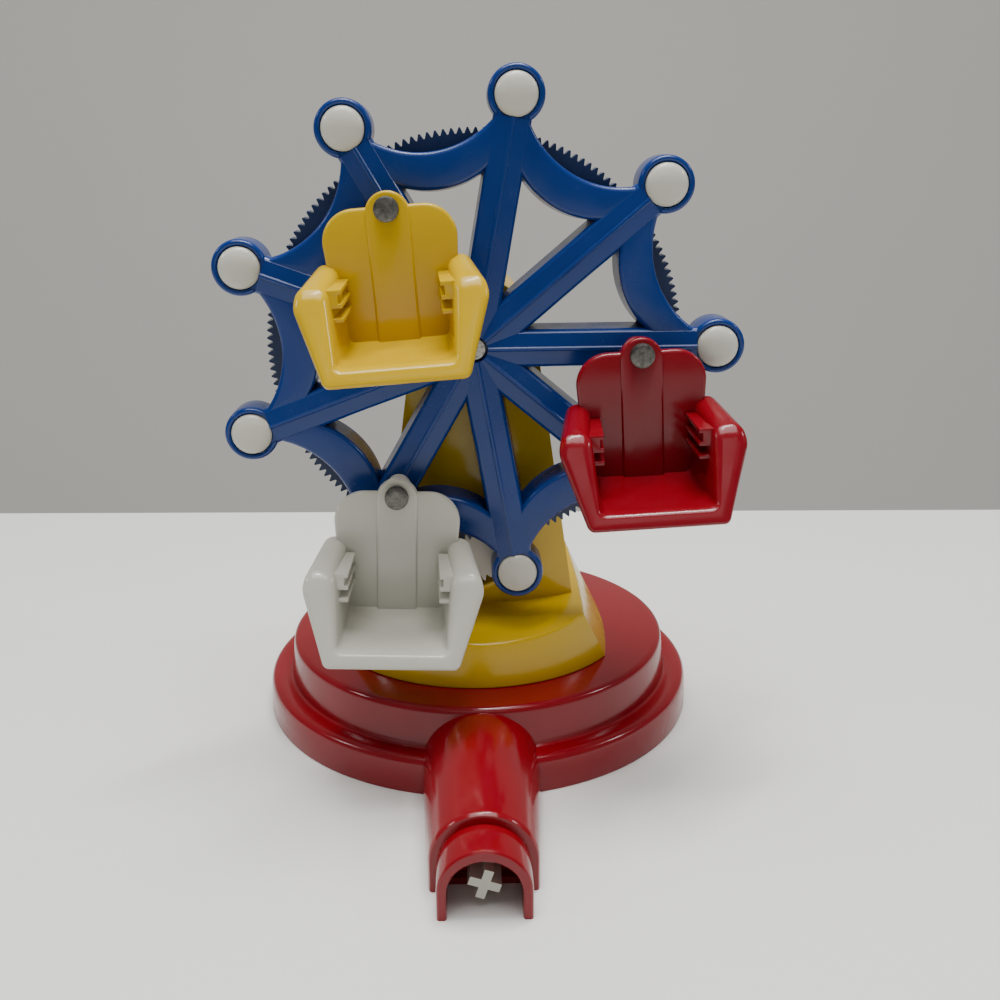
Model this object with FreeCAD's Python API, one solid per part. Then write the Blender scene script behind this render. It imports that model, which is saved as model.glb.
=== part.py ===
import FreeCAD, Part
import math
import os

# Hand-driven Ferris wheel toy. Millimetres, +Z up, +Y towards the back.
# The origin is on the base's axis, on the surface that the toy stands on.

V = FreeCAD.Vector
X_AXIS = V(1, 0, 0)
Y_AXIS = V(0, 1, 0)
Z_AXIS = V(0, 0, 1)

# Base: a round flange with a round step on it
WALL = 2.2
FLANGE_R = 60.2
FLANGE_TOP = 9.6
STEP_R = 54.0
STEP_TOP_R = 53.1
BASE_TOP = 20.2
BASE_HOLE_R = 26.0
COVER_T = 1.6
COVER_R = 57.4

# Drive tunnel at the front of the base, and its collar
TUNNEL_BACK_Y = -46.0
TUNNEL_FRONT_Y = -96.0
TUNNEL_BACK_HALF = 15.1
TUNNEL_FRONT_HALF = 11.9
TUNNEL_TOP = 19.2
TUNNEL_WALL = 2.2
COLLAR_FRONT_Y = -105.2
COLLAR_HALF = 10.1
COLLAR_TOP = 16.7
COLLAR_BORE_HALF = 7.9
COLLAR_BORE_TOP = 13.7

# Gear train, from the drive shaft up to the ring gear, all axes along Y
DRIVE_Z = 6.0
SMALL_MODULE = 0.8
DRIVE_TEETH = 8
IDLER_TEETH = 44
TRANSFER_TEETH = 13
RING_MODULE = 0.6
PINION_TEETH = 21
RING_TEETH = 167
MESH_GAP = 0.05
PRESSURE_ANGLE = math.radians(25)
BACKLASH = 0.12
IDLER_Z = DRIVE_Z + SMALL_MODULE * (DRIVE_TEETH + IDLER_TEETH) / 2 + MESH_GAP
PINION_Z = IDLER_Z + SMALL_MODULE * (IDLER_TEETH + TRANSFER_TEETH) / 2 + MESH_GAP
HUB_Z = PINION_Z + RING_MODULE * (PINION_TEETH + RING_TEETH) / 2 + MESH_GAP
GEAR_Y = (-14.4, -10.2)

# Wheel: nine spokes, lobes and scallops
SPOKES = 9
SPOKE_STEP = 360.0 / SPOKES
WEB_FRONT_Y = -34.2
WEB_BACK_Y = -29.6
SPOKE_HALF = 4.45
SPOKE_RIDGE = 0.6
LOBE_R = 6.65
LOBE_CENTRE_R = 58.3
LOBE_FRONT_Y = -34.6
LOBE_BACK_Y = -25.4
CAP_R = 4.8
CAP_RISE = 1.6
SCALLOP_R = 23.4
SCALLOP_MID_R = 46.2
NECK_R = 53.3
NECK_ANGLE = 4.1
OPENING_CENTRE_R = 59.0
OPENING_R = 21.4
OPENING_DRAFT = 0.45
FLANGE_T = 1.7
FLANGE_REACH_R = 42.9
RING_FRONT_Y = -27.2
RING_BACK_Y = -22.2
RING_INNER_R = 43.2
PINION_FRONT_Y = LOBE_BACK_Y + 0.3
HUB_R = 6.2
HUB_BACK_Y = -22.9
AXLE_R = 2.0
AXLE_HEAD_R = 2.5
HUB_POCKET_R = 3.15
RUN_FIT = 0.06

# Tower and its foot
FOOT_R = 42.4
FOOT_SIDE = 36.6
FOOT_CORNER_Y = 24.6
LEDGE_Z = 35.0
LEDGE_R = 40.6
LEDGE_SIDE = 28.4
LEDGE_CORNER_Y = 29.6
LEDGE_EDGE_Y = -30.0
LIP_Y = -40.6
LIP_Z = 32.0
TOWER_HALF = 28.2
TOWER_TOP_R = 15.6
TOWER_FRONT_Y = -21.0
TOWER_EDGE_Y = -13.2
TOWER_WALL = 2.2
SPLIT_Y = -8.0
BULKHEAD_T = 2.0
CUP_R = 9.4
CUP_WALL = 1.6
CUP_FRONT_Y = -25.1
BOSS_R = 3.5

# Seats, rivets and how they hang
PIVOT_R = 38.4
SEAT_ANGLES = (("yellow", 120.0, 4.0), ("white", 240.0, -2.0), ("red", 0.0, 3.0))
SEAT_FACE_Y = -44.4
SEAT_BACK_Y = -41.9
SEAT_FRONT_Y = -67.4
SEAT_BOSS_R = 2.9
RIVET_R = 1.25
RIVET_HEAD_R = 2.85
RIVET_HEAD_T = 1.8


def point(x, y, z):
    return V(x, y, z)


def cylinder_y(radius, y0, y1, x=0.0, z=0.0):
    return Part.makeCylinder(radius, y1 - y0, V(x, y0, z), Y_AXIS)


def cylinder_z(radius, z0, z1, x=0.0, y=0.0):
    return Part.makeCylinder(radius, z1 - z0, V(x, y, z0), Z_AXIS)


def box(x0, x1, y0, y1, z0, z1):
    return Part.makeBox(x1 - x0, y1 - y0, z1 - z0, V(x0, y0, z0))


def line(a, b):
    return Part.LineSegment(a, b).toShape()


def arc(a, mid, b):
    return Part.Arc(a, mid, b).toShape()


def face(edges):
    return Part.Face(Part.Wire(edges))


def polygon_face(points):
    return Part.Face(Part.makePolygon(points + [points[0]]))


def fuse_all(shapes):
    return shapes[0].multiFuse(shapes[1:]).removeSplitter()


def polar(radius, degrees, y):
    a = math.radians(degrees)
    return V(radius * math.cos(a), y, radius * math.sin(a))


def spun(shape, degrees):
    # Turns a shape about the wheel's own axis, anticlockwise seen from the front.
    turned = shape.copy()
    turned.rotate(V(0, 0, 0), Y_AXIS, -degrees)
    return turned


# Gears

def involute(base_r, radius):
    roll = math.sqrt(max((radius / base_r) ** 2 - 1, 0.0))
    return roll - math.atan(roll)


def flank_angle(teeth, module, radius):
    # Half the tooth's angle at a radius, for an involute flank
    pitch_r = module * teeth / 2
    base_r = pitch_r * math.cos(PRESSURE_ANGLE)
    half = (math.pi * module / 2 - BACKLASH / 2) / (2 * pitch_r)
    grown = involute(base_r, pitch_r) - involute(base_r, max(radius, base_r))
    return half + grown


def gear_face(teeth, module, flank_steps, tooth_at, y):
    # A tooth is centred on the angle tooth_at, in degrees.
    pitch_r = module * teeth / 2
    root_r = pitch_r - 1.25 * module
    tip_r = pitch_r + module
    radii = [root_r + (tip_r - root_r) * i / flank_steps for i in range(flank_steps + 1)]
    points = []
    for k in range(teeth):
        middle = math.radians(tooth_at) + 2 * math.pi * k / teeth
        rising = [(r, middle - flank_angle(teeth, module, r)) for r in radii]
        falling = [(r, middle + flank_angle(teeth, module, r)) for r in reversed(radii)]
        points += [V(r * math.cos(a), y, r * math.sin(a)) for r, a in rising + falling]
    return polygon_face(points)


def gear(teeth, module, y0, y1, z, tooth_at, flank_steps=3):
    solid = gear_face(teeth, module, flank_steps, tooth_at, y0).extrude(V(0, y1 - y0, 0))
    solid.translate(V(0, 0, z))
    return solid


# Base

def base_profile():
    # Each rounded corner is two short slopes.
    edge_r = 1.8
    top_r = 1.6
    return polygon_face([
        point(BASE_HOLE_R, 0, BASE_TOP),
        point(STEP_TOP_R - top_r, 0, BASE_TOP),
        point(STEP_TOP_R - 0.4, 0, BASE_TOP - 0.45),
        point(STEP_TOP_R + 0.08, 0, BASE_TOP - top_r),
        point(STEP_R, 0, FLANGE_TOP + 0.6),
        point(STEP_R + 0.5, 0, FLANGE_TOP + 0.1),
        point(STEP_R + 1.5, 0, FLANGE_TOP),
        point(FLANGE_R - edge_r - 0.2, 0, FLANGE_TOP),
        point(FLANGE_R - 0.6, 0, FLANGE_TOP - 0.5),
        point(FLANGE_R - 0.1, 0, FLANGE_TOP - edge_r),
        point(FLANGE_R + 0.2, 0, 0),
        point(FLANGE_R - WALL, 0, 0),
        point(FLANGE_R - WALL - 0.2, 0, FLANGE_TOP - WALL),
        point(STEP_R - WALL, 0, FLANGE_TOP - WALL),
        point(STEP_TOP_R - WALL, 0, BASE_TOP - WALL),
        point(BASE_HOLE_R, 0, BASE_TOP - WALL),
    ])


def arch_wire(half, top, y, floor=0.0):
    spring = top - half
    return Part.Wire([
        line(V(-half, y, floor), V(-half, y, spring)),
        arc(V(-half, y, spring), V(0, y, top), V(half, y, spring)),
        line(V(half, y, spring), V(half, y, floor)),
        line(V(half, y, floor), V(-half, y, floor)),
    ])


def arch_tunnel(half0, top0, y0, half1, top1, y1, floor=0.0):
    return Part.makeLoft([arch_wire(half0, top0, y0, floor), arch_wire(half1, top1, y1, floor)], True, True)


def tunnel_half(y):
    share = (y - TUNNEL_BACK_Y) / (TUNNEL_FRONT_Y - TUNNEL_BACK_Y)
    return TUNNEL_BACK_HALF + share * (TUNNEL_FRONT_HALF - TUNNEL_BACK_HALF)


def tunnel_outside():
    body = arch_tunnel(
        TUNNEL_BACK_HALF, TUNNEL_TOP, TUNNEL_BACK_Y, TUNNEL_FRONT_HALF, TUNNEL_TOP, TUNNEL_FRONT_Y
    )
    front = [
        e for e in body.Edges
        if e.BoundBox.YMax < TUNNEL_FRONT_Y + 0.01 and e.BoundBox.ZMax > TUNNEL_TOP - 0.1
    ]
    body = body.makeChamfer(0.9, front)
    collar = arch_tunnel(
        COLLAR_HALF, COLLAR_TOP, TUNNEL_FRONT_Y + 3, COLLAR_HALF, COLLAR_TOP, COLLAR_FRONT_Y
    )
    return body.fuse(collar)


def tunnel_inside():
    half0 = tunnel_half(TUNNEL_BACK_Y + 6) - TUNNEL_WALL
    half1 = tunnel_half(TUNNEL_FRONT_Y + TUNNEL_WALL) - TUNNEL_WALL
    top = TUNNEL_TOP - TUNNEL_WALL
    body = arch_tunnel(
        half0, top, TUNNEL_BACK_Y + 6, half1, top, TUNNEL_FRONT_Y + TUNNEL_WALL, -1.0
    )
    bore = arch_tunnel(
        COLLAR_BORE_HALF, COLLAR_BORE_TOP, TUNNEL_FRONT_Y + 3,
        COLLAR_BORE_HALF, COLLAR_BORE_TOP, COLLAR_FRONT_Y - 1, -1.0,
    )
    return body.fuse(bore)


BEARING_RIB_Y = (-88.0, -86.0)
SADDLE_Y = (-91.0, -89.0)
JOURNAL_R = 3.75
REAR_JOURNAL_R = 2.0


def bearing_rib():
    # A plate across the tunnel, with a slot that the shaft drops into
    y0, y1 = BEARING_RIB_Y
    half = tunnel_half(y0) - 1.0
    plate = arch_tunnel(half, TUNNEL_TOP - 1.0, y1, half, TUNNEL_TOP - 1.0, y0, COVER_T + 0.4)
    slot_r = JOURNAL_R + RUN_FIT
    slot = cylinder_y(slot_r, y0 - 1, y1 + 1, 0, DRIVE_Z)
    return plate.cut(slot.fuse(box(-slot_r, slot_r, y0 - 1, y1 + 1, -1, DRIVE_Z)))


COVER_SCREW_R = 44.0
COVER_SCREW_ANGLES = (90.0, 205.0, 335.0)
FOOT_SCREW_XY = ((24.0, -26.0), (-24.0, -26.0), (24.0, 26.0), (-24.0, 26.0))
SCREW_R = 1.25
SCREW_HEAD_R = 2.6
SCREW_HOLE_R = 1.35


def cover_screw_places():
    return [
        (COVER_SCREW_R * math.cos(math.radians(a)), COVER_SCREW_R * math.sin(math.radians(a)))
        for a in COVER_SCREW_ANGLES
    ]


def base_shell():
    shell = base_profile().revolve(V(0, 0, 0), Z_AXIS, 360)
    shell = shell.fuse(tunnel_outside())
    shell = shell.cut(cylinder_z(STEP_TOP_R - WALL, FLANGE_TOP, BASE_TOP - WALL))
    shell = shell.cut(cylinder_z(FLANGE_R - WALL - 0.2, -1, FLANGE_TOP - WALL))
    shell = shell.cut(tunnel_inside())
    bosses = [bearing_rib()]
    holes = []
    for x, y in cover_screw_places():
        bosses.append(cylinder_z(BOSS_R, COVER_T + 0.05, BASE_TOP - 1.0, x, y))
        holes.append(cylinder_z(SCREW_HOLE_R, 0, 14, x, y))
    for x, y in FOOT_SCREW_XY:
        holes.append(cylinder_z(SCREW_HOLE_R, 10, BASE_TOP + 1, x, y))
    shell = shell.multiFuse(bosses)
    for hole in holes:
        shell = shell.cut(hole)
    return shell.removeSplitter()


def bottom_cover():
    plate = cylinder_z(COVER_R, 0, COVER_T)
    y0 = TUNNEL_FRONT_Y + TUNNEL_WALL + 0.4
    half0 = tunnel_half(y0) - TUNNEL_WALL - 0.35
    half1 = tunnel_half(-52) - TUNNEL_WALL - 0.35
    tongue = polygon_face([V(-half0, y0, 0), V(half0, y0, 0), V(half1, -52, 0), V(-half1, -52, 0)])
    plate = plate.fuse(tongue.extrude(V(0, 0, COVER_T)))
    front = box(-6, 6, SADDLE_Y[0], SADDLE_Y[1], COVER_T - 0.5, DRIVE_Z - 0.2)
    front = front.cut(cylinder_y(JOURNAL_R + RUN_FIT, SADDLE_Y[0] - 1, SADDLE_Y[1] + 1, 0, DRIVE_Z))
    rear = box(-5, 5, SPLIT_Y, SPLIT_Y + BULKHEAD_T, COVER_T - 0.5, DRIVE_Z - 0.2)
    rear = rear.cut(cylinder_y(REAR_JOURNAL_R + RUN_FIT, -20, 0, 0, DRIVE_Z))
    plate = plate.multiFuse([front, rear])
    for x, y in cover_screw_places():
        plate = plate.cut(cylinder_z(SCREW_HOLE_R, -1, 3, x, y))
        plate = plate.cut(cylinder_z(SCREW_HEAD_R + 0.3, -1, 0.9, x, y))
    return plate.removeSplitter()


def screw(head_z, length, x, y, head_t=0.8):
    # A pan-head screw that points up, with its head's flat underside at head_z
    head = cylinder_z(SCREW_HEAD_R, head_z - head_t, head_z, x, y)
    shank = cylinder_z(SCREW_R, head_z - 0.2, head_z + length, x, y)
    return head.fuse(shank).removeSplitter()


def cover_screws():
    return Part.makeCompound([screw(0.9, 10, x, y) for x, y in cover_screw_places()])


def foot_screws():
    return Part.makeCompound([screw(BASE_TOP - WALL, 10, x, y, 1.6) for x, y in FOOT_SCREW_XY])


# Tower

def foot_wire(radius, side, corner_y, z):
    # Front and back are arcs about the base's axis, and each side is a long shallow arc.
    corner_x = math.sqrt(radius ** 2 - corner_y ** 2)
    corners = [V(sx * corner_x, sy * corner_y, z) for sx, sy in ((-1, -1), (1, -1), (1, 1), (-1, 1))]
    return Part.Wire([
        arc(corners[0], V(0, -radius, z), corners[1]),
        arc(corners[1], V(side, 0, z), corners[2]),
        arc(corners[2], V(0, radius, z), corners[3]),
        arc(corners[3], V(-side, 0, z), corners[0]),
    ])


def foot_solid(inset=0.0):
    low = foot_wire(FOOT_R - inset, FOOT_SIDE - inset, FOOT_CORNER_Y, BASE_TOP - inset * 0.01)
    high = foot_wire(LEDGE_R - inset, LEDGE_SIDE - inset, LEDGE_CORNER_Y - inset * 0.4, LEDGE_Z - inset)
    body = Part.makeLoft([low, high], True, True)
    for sign in (1, -1):
        slope = polygon_face([
            V(-50, sign * LEDGE_EDGE_Y, LEDGE_Z - inset),
            V(-50, sign * LIP_Y, LIP_Z - inset),
            V(-50, sign * (LIP_Y - 12), LIP_Z - inset - 12 * (LEDGE_Z - LIP_Z) / (LEDGE_EDGE_Y - LIP_Y)),
            V(-50, sign * (LIP_Y - 12), LEDGE_Z + 5),
            V(-50, sign * LEDGE_EDGE_Y, LEDGE_Z + 5),
        ])
        body = body.cut(slope.extrude(V(100, 0, 0)))
    return body


def tower_outline(inset=0.0):
    # Front view: straight tapering sides, tangent to a round top about the hub
    top_r = TOWER_TOP_R - inset
    half = TOWER_HALF - inset
    low_z = BASE_TOP
    rise = HUB_Z - low_z
    slant = math.hypot(half, rise)
    turn = math.atan2(rise, half) - math.acos(top_r / slant)
    touch_x = top_r * math.cos(turn)
    touch_z = HUB_Z - top_r * math.sin(turn)
    return face([
        line(V(-half, 0, low_z), V(half, 0, low_z)),
        line(V(half, 0, low_z), V(touch_x, 0, touch_z)),
        arc(V(touch_x, 0, touch_z), V(0, 0, HUB_Z + top_r), V(-touch_x, 0, touch_z)),
        line(V(-touch_x, 0, touch_z), V(-half, 0, low_z)),
    ])


def tower_plan(inset=0.0):
    # Top view: front and back are shallow arcs, and the sides are flat.
    half = TOWER_HALF + 3
    edge = TOWER_EDGE_Y + 1.7 + inset
    mid = TOWER_FRONT_Y + inset
    return face([
        arc(V(-half, edge, BASE_TOP), V(0, mid, BASE_TOP), V(half, edge, BASE_TOP)),
        line(V(half, edge, BASE_TOP), V(half, -edge, BASE_TOP)),
        arc(V(half, -edge, BASE_TOP), V(0, -mid, BASE_TOP), V(-half, -edge, BASE_TOP)),
        line(V(-half, -edge, BASE_TOP), V(-half, edge, BASE_TOP)),
    ])


def tower_column(inset=0.0):
    front_view = tower_outline(inset)
    front_view.translate(V(0, -40, 0))
    side_to_side = front_view.extrude(V(0, 80, 0))
    upright = tower_plan(inset).extrude(V(0, 0, 120))
    return side_to_side.common(upright)


def rounded_column():
    column = tower_column()
    edges = [
        e for e in column.Edges
        if abs(e.BoundBox.YMax - e.BoundBox.YMin) < 9 and e.BoundBox.ZMax - e.BoundBox.ZMin > 10
    ]
    return column.makeChamfer(1.2, edges)


TOWER_SCREW_XZ = ((17.0, 54.0), (-17.0, 54.0), (0.0, 84.0))
AXLE_BOSS_R = 6.0
AXLE_BOSS_FRONT_Y = -22.2
SHAFT_R = 2.2
SHAFT_BOSS_R = 4.4
IDLER_PIN_R = 2.0
IDLER_BOSS_R = 4.6
TAIL_R = 1.5


def pinion_cup():
    # An open half cup under the pinion, joined to the tower's front
    ring = cylinder_y(CUP_R, CUP_FRONT_Y, TOWER_FRONT_Y + 2, 0, PINION_Z)
    ring = ring.cut(cylinder_y(CUP_R - CUP_WALL, CUP_FRONT_Y - 1, TOWER_FRONT_Y + 1, 0, PINION_Z))
    upper = box(-20, 20, CUP_FRONT_Y - 1, TOWER_FRONT_Y + 3, PINION_Z + 1.0, PINION_Z + 20)
    return ring.cut(upper)


def tower_bodies():
    outer = rounded_column().fuse(foot_solid())
    hollow = tower_column(TOWER_WALL).fuse(foot_solid(TOWER_WALL))
    throat = box(-30, 30, -20, 20, BASE_TOP - 1, BASE_TOP + 1)
    return outer, hollow.fuse(throat.common(tower_column(TOWER_WALL)))


def front_half_space():
    return box(-60, 60, -60, SPLIT_Y, 0, 140)


def tower_front(outer, hollow):
    shell = outer.cut(hollow).common(front_half_space())
    added = [
        pinion_cup(),
        cylinder_y(AXLE_BOSS_R, AXLE_BOSS_FRONT_Y, SPLIT_Y, 0, HUB_Z),
        cylinder_y(SHAFT_BOSS_R, TOWER_FRONT_Y + 1, GEAR_Y[0] - 0.5, 0, PINION_Z),
    ]
    for x, z in TOWER_SCREW_XZ:
        added.append(cylinder_y(BOSS_R, TOWER_FRONT_Y - 1, SPLIT_Y, x, z).common(outer))
    for x, y in FOOT_SCREW_XY:
        if y < 0:
            added.append(cylinder_z(BOSS_R, BASE_TOP, LEDGE_Z - 1, x, y).common(outer))
    shell = shell.multiFuse(added)
    cuts = [
        cylinder_y(AXLE_R, -40, 0, 0, HUB_Z),
        cylinder_y(SHAFT_R + RUN_FIT, -40, 0, 0, PINION_Z),
    ]
    for x, z in TOWER_SCREW_XZ:
        cuts.append(cylinder_y(SCREW_HOLE_R, SPLIT_Y - 8.5, 0, x, z))
    for x, y in FOOT_SCREW_XY:
        cuts.append(cylinder_z(SCREW_HOLE_R, 10, BASE_TOP + 9, x, y))
    for cutter in cuts:
        shell = shell.cut(cutter)
    return shell.removeSplitter()


def bulkhead():
    # The rear half's front wall, with a tongue that reaches down to the drive shaft
    slab = box(-60, 60, SPLIT_Y, SPLIT_Y + BULKHEAD_T, BASE_TOP, 140)
    tongue = box(-7, 7, SPLIT_Y, SPLIT_Y + BULKHEAD_T, DRIVE_Z + 0.2, BASE_TOP + 2)
    return slab, tongue


def tower_rear(outer, hollow):
    behind = outer.cut(front_half_space())
    shell = behind.cut(hollow)
    slab, tongue = bulkhead()
    added = [
        slab.common(behind),
        tongue,
        cylinder_y(IDLER_BOSS_R, GEAR_Y[1] + 0.15, SPLIT_Y + 8, 0, IDLER_Z),
        cylinder_y(AXLE_BOSS_R, SPLIT_Y, 6, 0, HUB_Z),
    ]
    for x, z in TOWER_SCREW_XZ:
        added.append(cylinder_y(BOSS_R + 0.7, SPLIT_Y, 30, x, z).common(behind))
    for x, y in FOOT_SCREW_XY:
        if y > 0:
            added.append(cylinder_z(BOSS_R, BASE_TOP, LEDGE_Z - 1, x, y).common(outer))
    shell = shell.multiFuse(added)
    cuts = [
        cylinder_y(AXLE_R, -40, 6, 0, HUB_Z),
        cylinder_y(TAIL_R + RUN_FIT, -40, 0, 0, PINION_Z),
        cylinder_y(IDLER_PIN_R, -40, SPLIT_Y + 6, 0, IDLER_Z),
        cylinder_y(REAR_JOURNAL_R + RUN_FIT, -40, 0, 0, DRIVE_Z),
    ]
    for x, z in TOWER_SCREW_XZ:
        cuts.append(cylinder_y(SCREW_HEAD_R + 0.3, SPLIT_Y + BULKHEAD_T, 40, x, z))
        cuts.append(cylinder_y(SCREW_HOLE_R, SPLIT_Y - 1, 0, x, z))
    for x, y in FOOT_SCREW_XY:
        cuts.append(cylinder_z(SCREW_HOLE_R, 10, BASE_TOP + 9, x, y))
    for cutter in cuts:
        shell = shell.cut(cutter)
    return shell.removeSplitter()


def tower_screws():
    made = []
    head_y = SPLIT_Y + BULKHEAD_T
    for x, z in TOWER_SCREW_XZ:
        head = cylinder_y(SCREW_HEAD_R, head_y, head_y + 1.6, x, z)
        made.append(head.fuse(cylinder_y(SCREW_R, head_y - 10, head_y + 0.2, x, z)).removeSplitter())
    return Part.makeCompound(made)


# Wheel, drawn about its own axis and lifted to the hub at the end

def scallop_outline(y):
    # Nine arcs that bend towards the hub, joined by short straight lines at the lobes
    edges = []
    for k in range(SPOKES):
        a = SPOKE_STEP * k
        first = polar(NECK_R, a + NECK_ANGLE, y)
        mid = polar(SCALLOP_MID_R, a + SPOKE_STEP / 2, y)
        last = polar(NECK_R, a + SPOKE_STEP - NECK_ANGLE, y)
        following = polar(NECK_R, a + SPOKE_STEP + NECK_ANGLE, y)
        edges.append(arc(first, mid, last))
        edges.append(line(last, following))
    return face(edges)


def opening_wire(lateral, arc_r, y):
    # A gap between two spokes: two straight sides, and an arc that bends towards the hub
    half_step = math.radians(SPOKE_STEP / 2)
    across = OPENING_CENTRE_R * math.sin(half_step) - lateral
    along = OPENING_CENTRE_R * math.cos(half_step) - math.sqrt(arc_r ** 2 - across ** 2)
    reach = math.hypot(along, lateral)
    turn = math.degrees(math.atan2(lateral, along))
    apex = polar(lateral / math.sin(half_step), SPOKE_STEP / 2, y)
    first = polar(reach, turn, y)
    middle = polar(OPENING_CENTRE_R - arc_r, SPOKE_STEP / 2, y)
    last = polar(reach, SPOKE_STEP - turn, y)
    return Part.Wire([line(apex, first), arc(first, middle, last), line(last, apex)])


def opening(inset, y0, y1):
    # The gap as a solid. Its walls lean inwards towards the back, as a mould needs.
    slope = OPENING_DRAFT / (LOBE_BACK_Y - WEB_FRONT_Y)
    wires = []
    for y in (y0, y1):
        lean = slope * (y - WEB_FRONT_Y) - inset
        wires.append(opening_wire(SPOKE_HALF + lean, OPENING_R + lean, y))
    return Part.makeLoft(wires, True, True)


def rim_slab():
    depth = V(0, WEB_BACK_Y - WEB_FRONT_Y, 0)
    slab = scallop_outline(WEB_FRONT_Y).extrude(depth)
    front_arcs = [
        e for e in slab.Edges
        if e.BoundBox.YMax < WEB_FRONT_Y + 0.01 and e.Curve.TypeId == "Part::GeomCircle"
    ]
    return slab.makeChamfer(0.9, front_arcs)


def opening_flange():
    # A wall round the opening that stands out at the wheel's back, inside the ring gear
    wall = opening(FLANGE_T, WEB_BACK_Y - 0.5, LOBE_BACK_Y)
    return wall.common(cylinder_y(FLANGE_REACH_R, WEB_BACK_Y - 1, LOBE_BACK_Y + 1))


def spoke():
    ridge_y = WEB_FRONT_Y - SPOKE_RIDGE
    profile = [
        (-SPOKE_HALF, WEB_BACK_Y),
        (-SPOKE_HALF, WEB_FRONT_Y + 0.8),
        (-SPOKE_HALF + 0.7, WEB_FRONT_Y + 0.1),
        (-0.5, ridge_y + 0.3),
        (-0.35, ridge_y),
        (0.35, ridge_y),
        (0.5, ridge_y + 0.3),
        (SPOKE_HALF - 0.7, WEB_FRONT_Y + 0.1),
        (SPOKE_HALF, WEB_FRONT_Y + 0.8),
        (SPOKE_HALF, WEB_BACK_Y),
    ]
    section = polygon_face([V(0, y, z) for z, y in profile])
    return section.extrude(V(LOBE_CENTRE_R - CAP_R, 0, 0))


def lobe():
    post = cylinder_y(LOBE_R, LOBE_FRONT_Y, LOBE_BACK_Y, LOBE_CENTRE_R, 0)
    front_edge = [e for e in post.Edges if e.BoundBox.YMax < LOBE_FRONT_Y + 0.01]
    return post.makeChamfer(0.6, front_edge)


def wheel_web():
    made = [rim_slab()]
    cuts = [
        cylinder_y(AXLE_R + RUN_FIT, -50, 0),
        cylinder_y(HUB_POCKET_R, -50, WEB_FRONT_Y + 2.2),
    ]
    for k in range(SPOKES):
        a = SPOKE_STEP * k
        made.append(spun(spoke(), a))
        made.append(spun(lobe(), a))
        made.append(spun(opening_flange(), a))
        pocket = cylinder_y(CAP_R, -50, LOBE_FRONT_Y + 1.6, LOBE_CENTRE_R, 0)
        hollow = cylinder_y(LOBE_R - 1.9, LOBE_FRONT_Y + 3.4, 0, LOBE_CENTRE_R, 0)
        cuts.append(spun(pocket, a))
        cuts.append(spun(hollow, a))
        cuts.append(spun(opening(0, WEB_FRONT_Y - 3, LOBE_BACK_Y + 1), a))
    made.append(cylinder_y(HUB_R, WEB_FRONT_Y + 0.2, HUB_BACK_Y))
    for name, angle, tilt in SEAT_ANGLES:
        cuts.append(spun(cylinder_y(RIVET_R + RUN_FIT, -50, 0, PIVOT_R, 0), angle))
    web = made[0].multiFuse(made[1:])
    for cutter in cuts:
        web = web.cut(cutter)
    web = web.removeSplitter()
    web.translate(V(0, 0, HUB_Z))
    return web


def ring_gear():
    teeth = gear_face(RING_TEETH, RING_MODULE, 1, -90, RING_FRONT_Y)
    solid = teeth.extrude(V(0, RING_BACK_Y - RING_FRONT_Y, 0))
    skirt = cylinder_y(RING_INNER_R + 2.2, WEB_BACK_Y, RING_BACK_Y)
    solid = solid.fuse(skirt).cut(cylinder_y(RING_INNER_R, -50, 0))
    solid = solid.removeSplitter()
    solid.translate(V(0, 0, HUB_Z))
    return solid


def rim_cap(k):
    # A low dome on a short plug
    dome_r = (CAP_R ** 2 + CAP_RISE ** 2) / (2 * CAP_RISE)
    seat_y = LOBE_FRONT_Y + 0.1
    ball = Part.makeSphere(dome_r, V(LOBE_CENTRE_R, seat_y - CAP_RISE + dome_r, 0))
    disc = cylinder_y(CAP_R - 0.05, -60, LOBE_FRONT_Y + 1.55, LOBE_CENTRE_R, 0)
    cap = spun(ball.common(disc), SPOKE_STEP * k)
    cap.translate(V(0, 0, HUB_Z))
    return cap


def wheel_axle():
    head = cylinder_y(AXLE_HEAD_R, WEB_FRONT_Y + 0.6, WEB_FRONT_Y + 2.1, 0, HUB_Z)
    return head.fuse(cylinder_y(AXLE_R, WEB_FRONT_Y + 1, 5.5, 0, HUB_Z)).removeSplitter()


def axle_washer():
    washer = cylinder_y(5.0, HUB_BACK_Y + 0.1, AXLE_BOSS_FRONT_Y - 0.05, 0, HUB_Z)
    return washer.cut(cylinder_y(AXLE_R + 0.1, -60, 0, 0, HUB_Z))


# Drive train

def wheel_pinion():
    tooth_at = 90.0 + 180.0 / PINION_TEETH
    teeth = gear(PINION_TEETH, RING_MODULE, PINION_FRONT_Y, RING_BACK_Y, PINION_Z, tooth_at)
    collar = cylinder_y(3.6, RING_BACK_Y - 0.1, TOWER_FRONT_Y - 0.3, 0, PINION_Z)
    shaft = cylinder_y(SHAFT_R, -24, GEAR_Y[0], 0, PINION_Z)
    tail = cylinder_y(TAIL_R, GEAR_Y[0] - 1, SPLIT_Y + BULKHEAD_T, 0, PINION_Z)
    return fuse_all([teeth, collar, shaft, tail])


def transfer_gear():
    teeth = gear(TRANSFER_TEETH, SMALL_MODULE, GEAR_Y[0], GEAR_Y[1], PINION_Z, -90)
    return teeth.cut(cylinder_y(TAIL_R, -40, 0, 0, PINION_Z))


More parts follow.
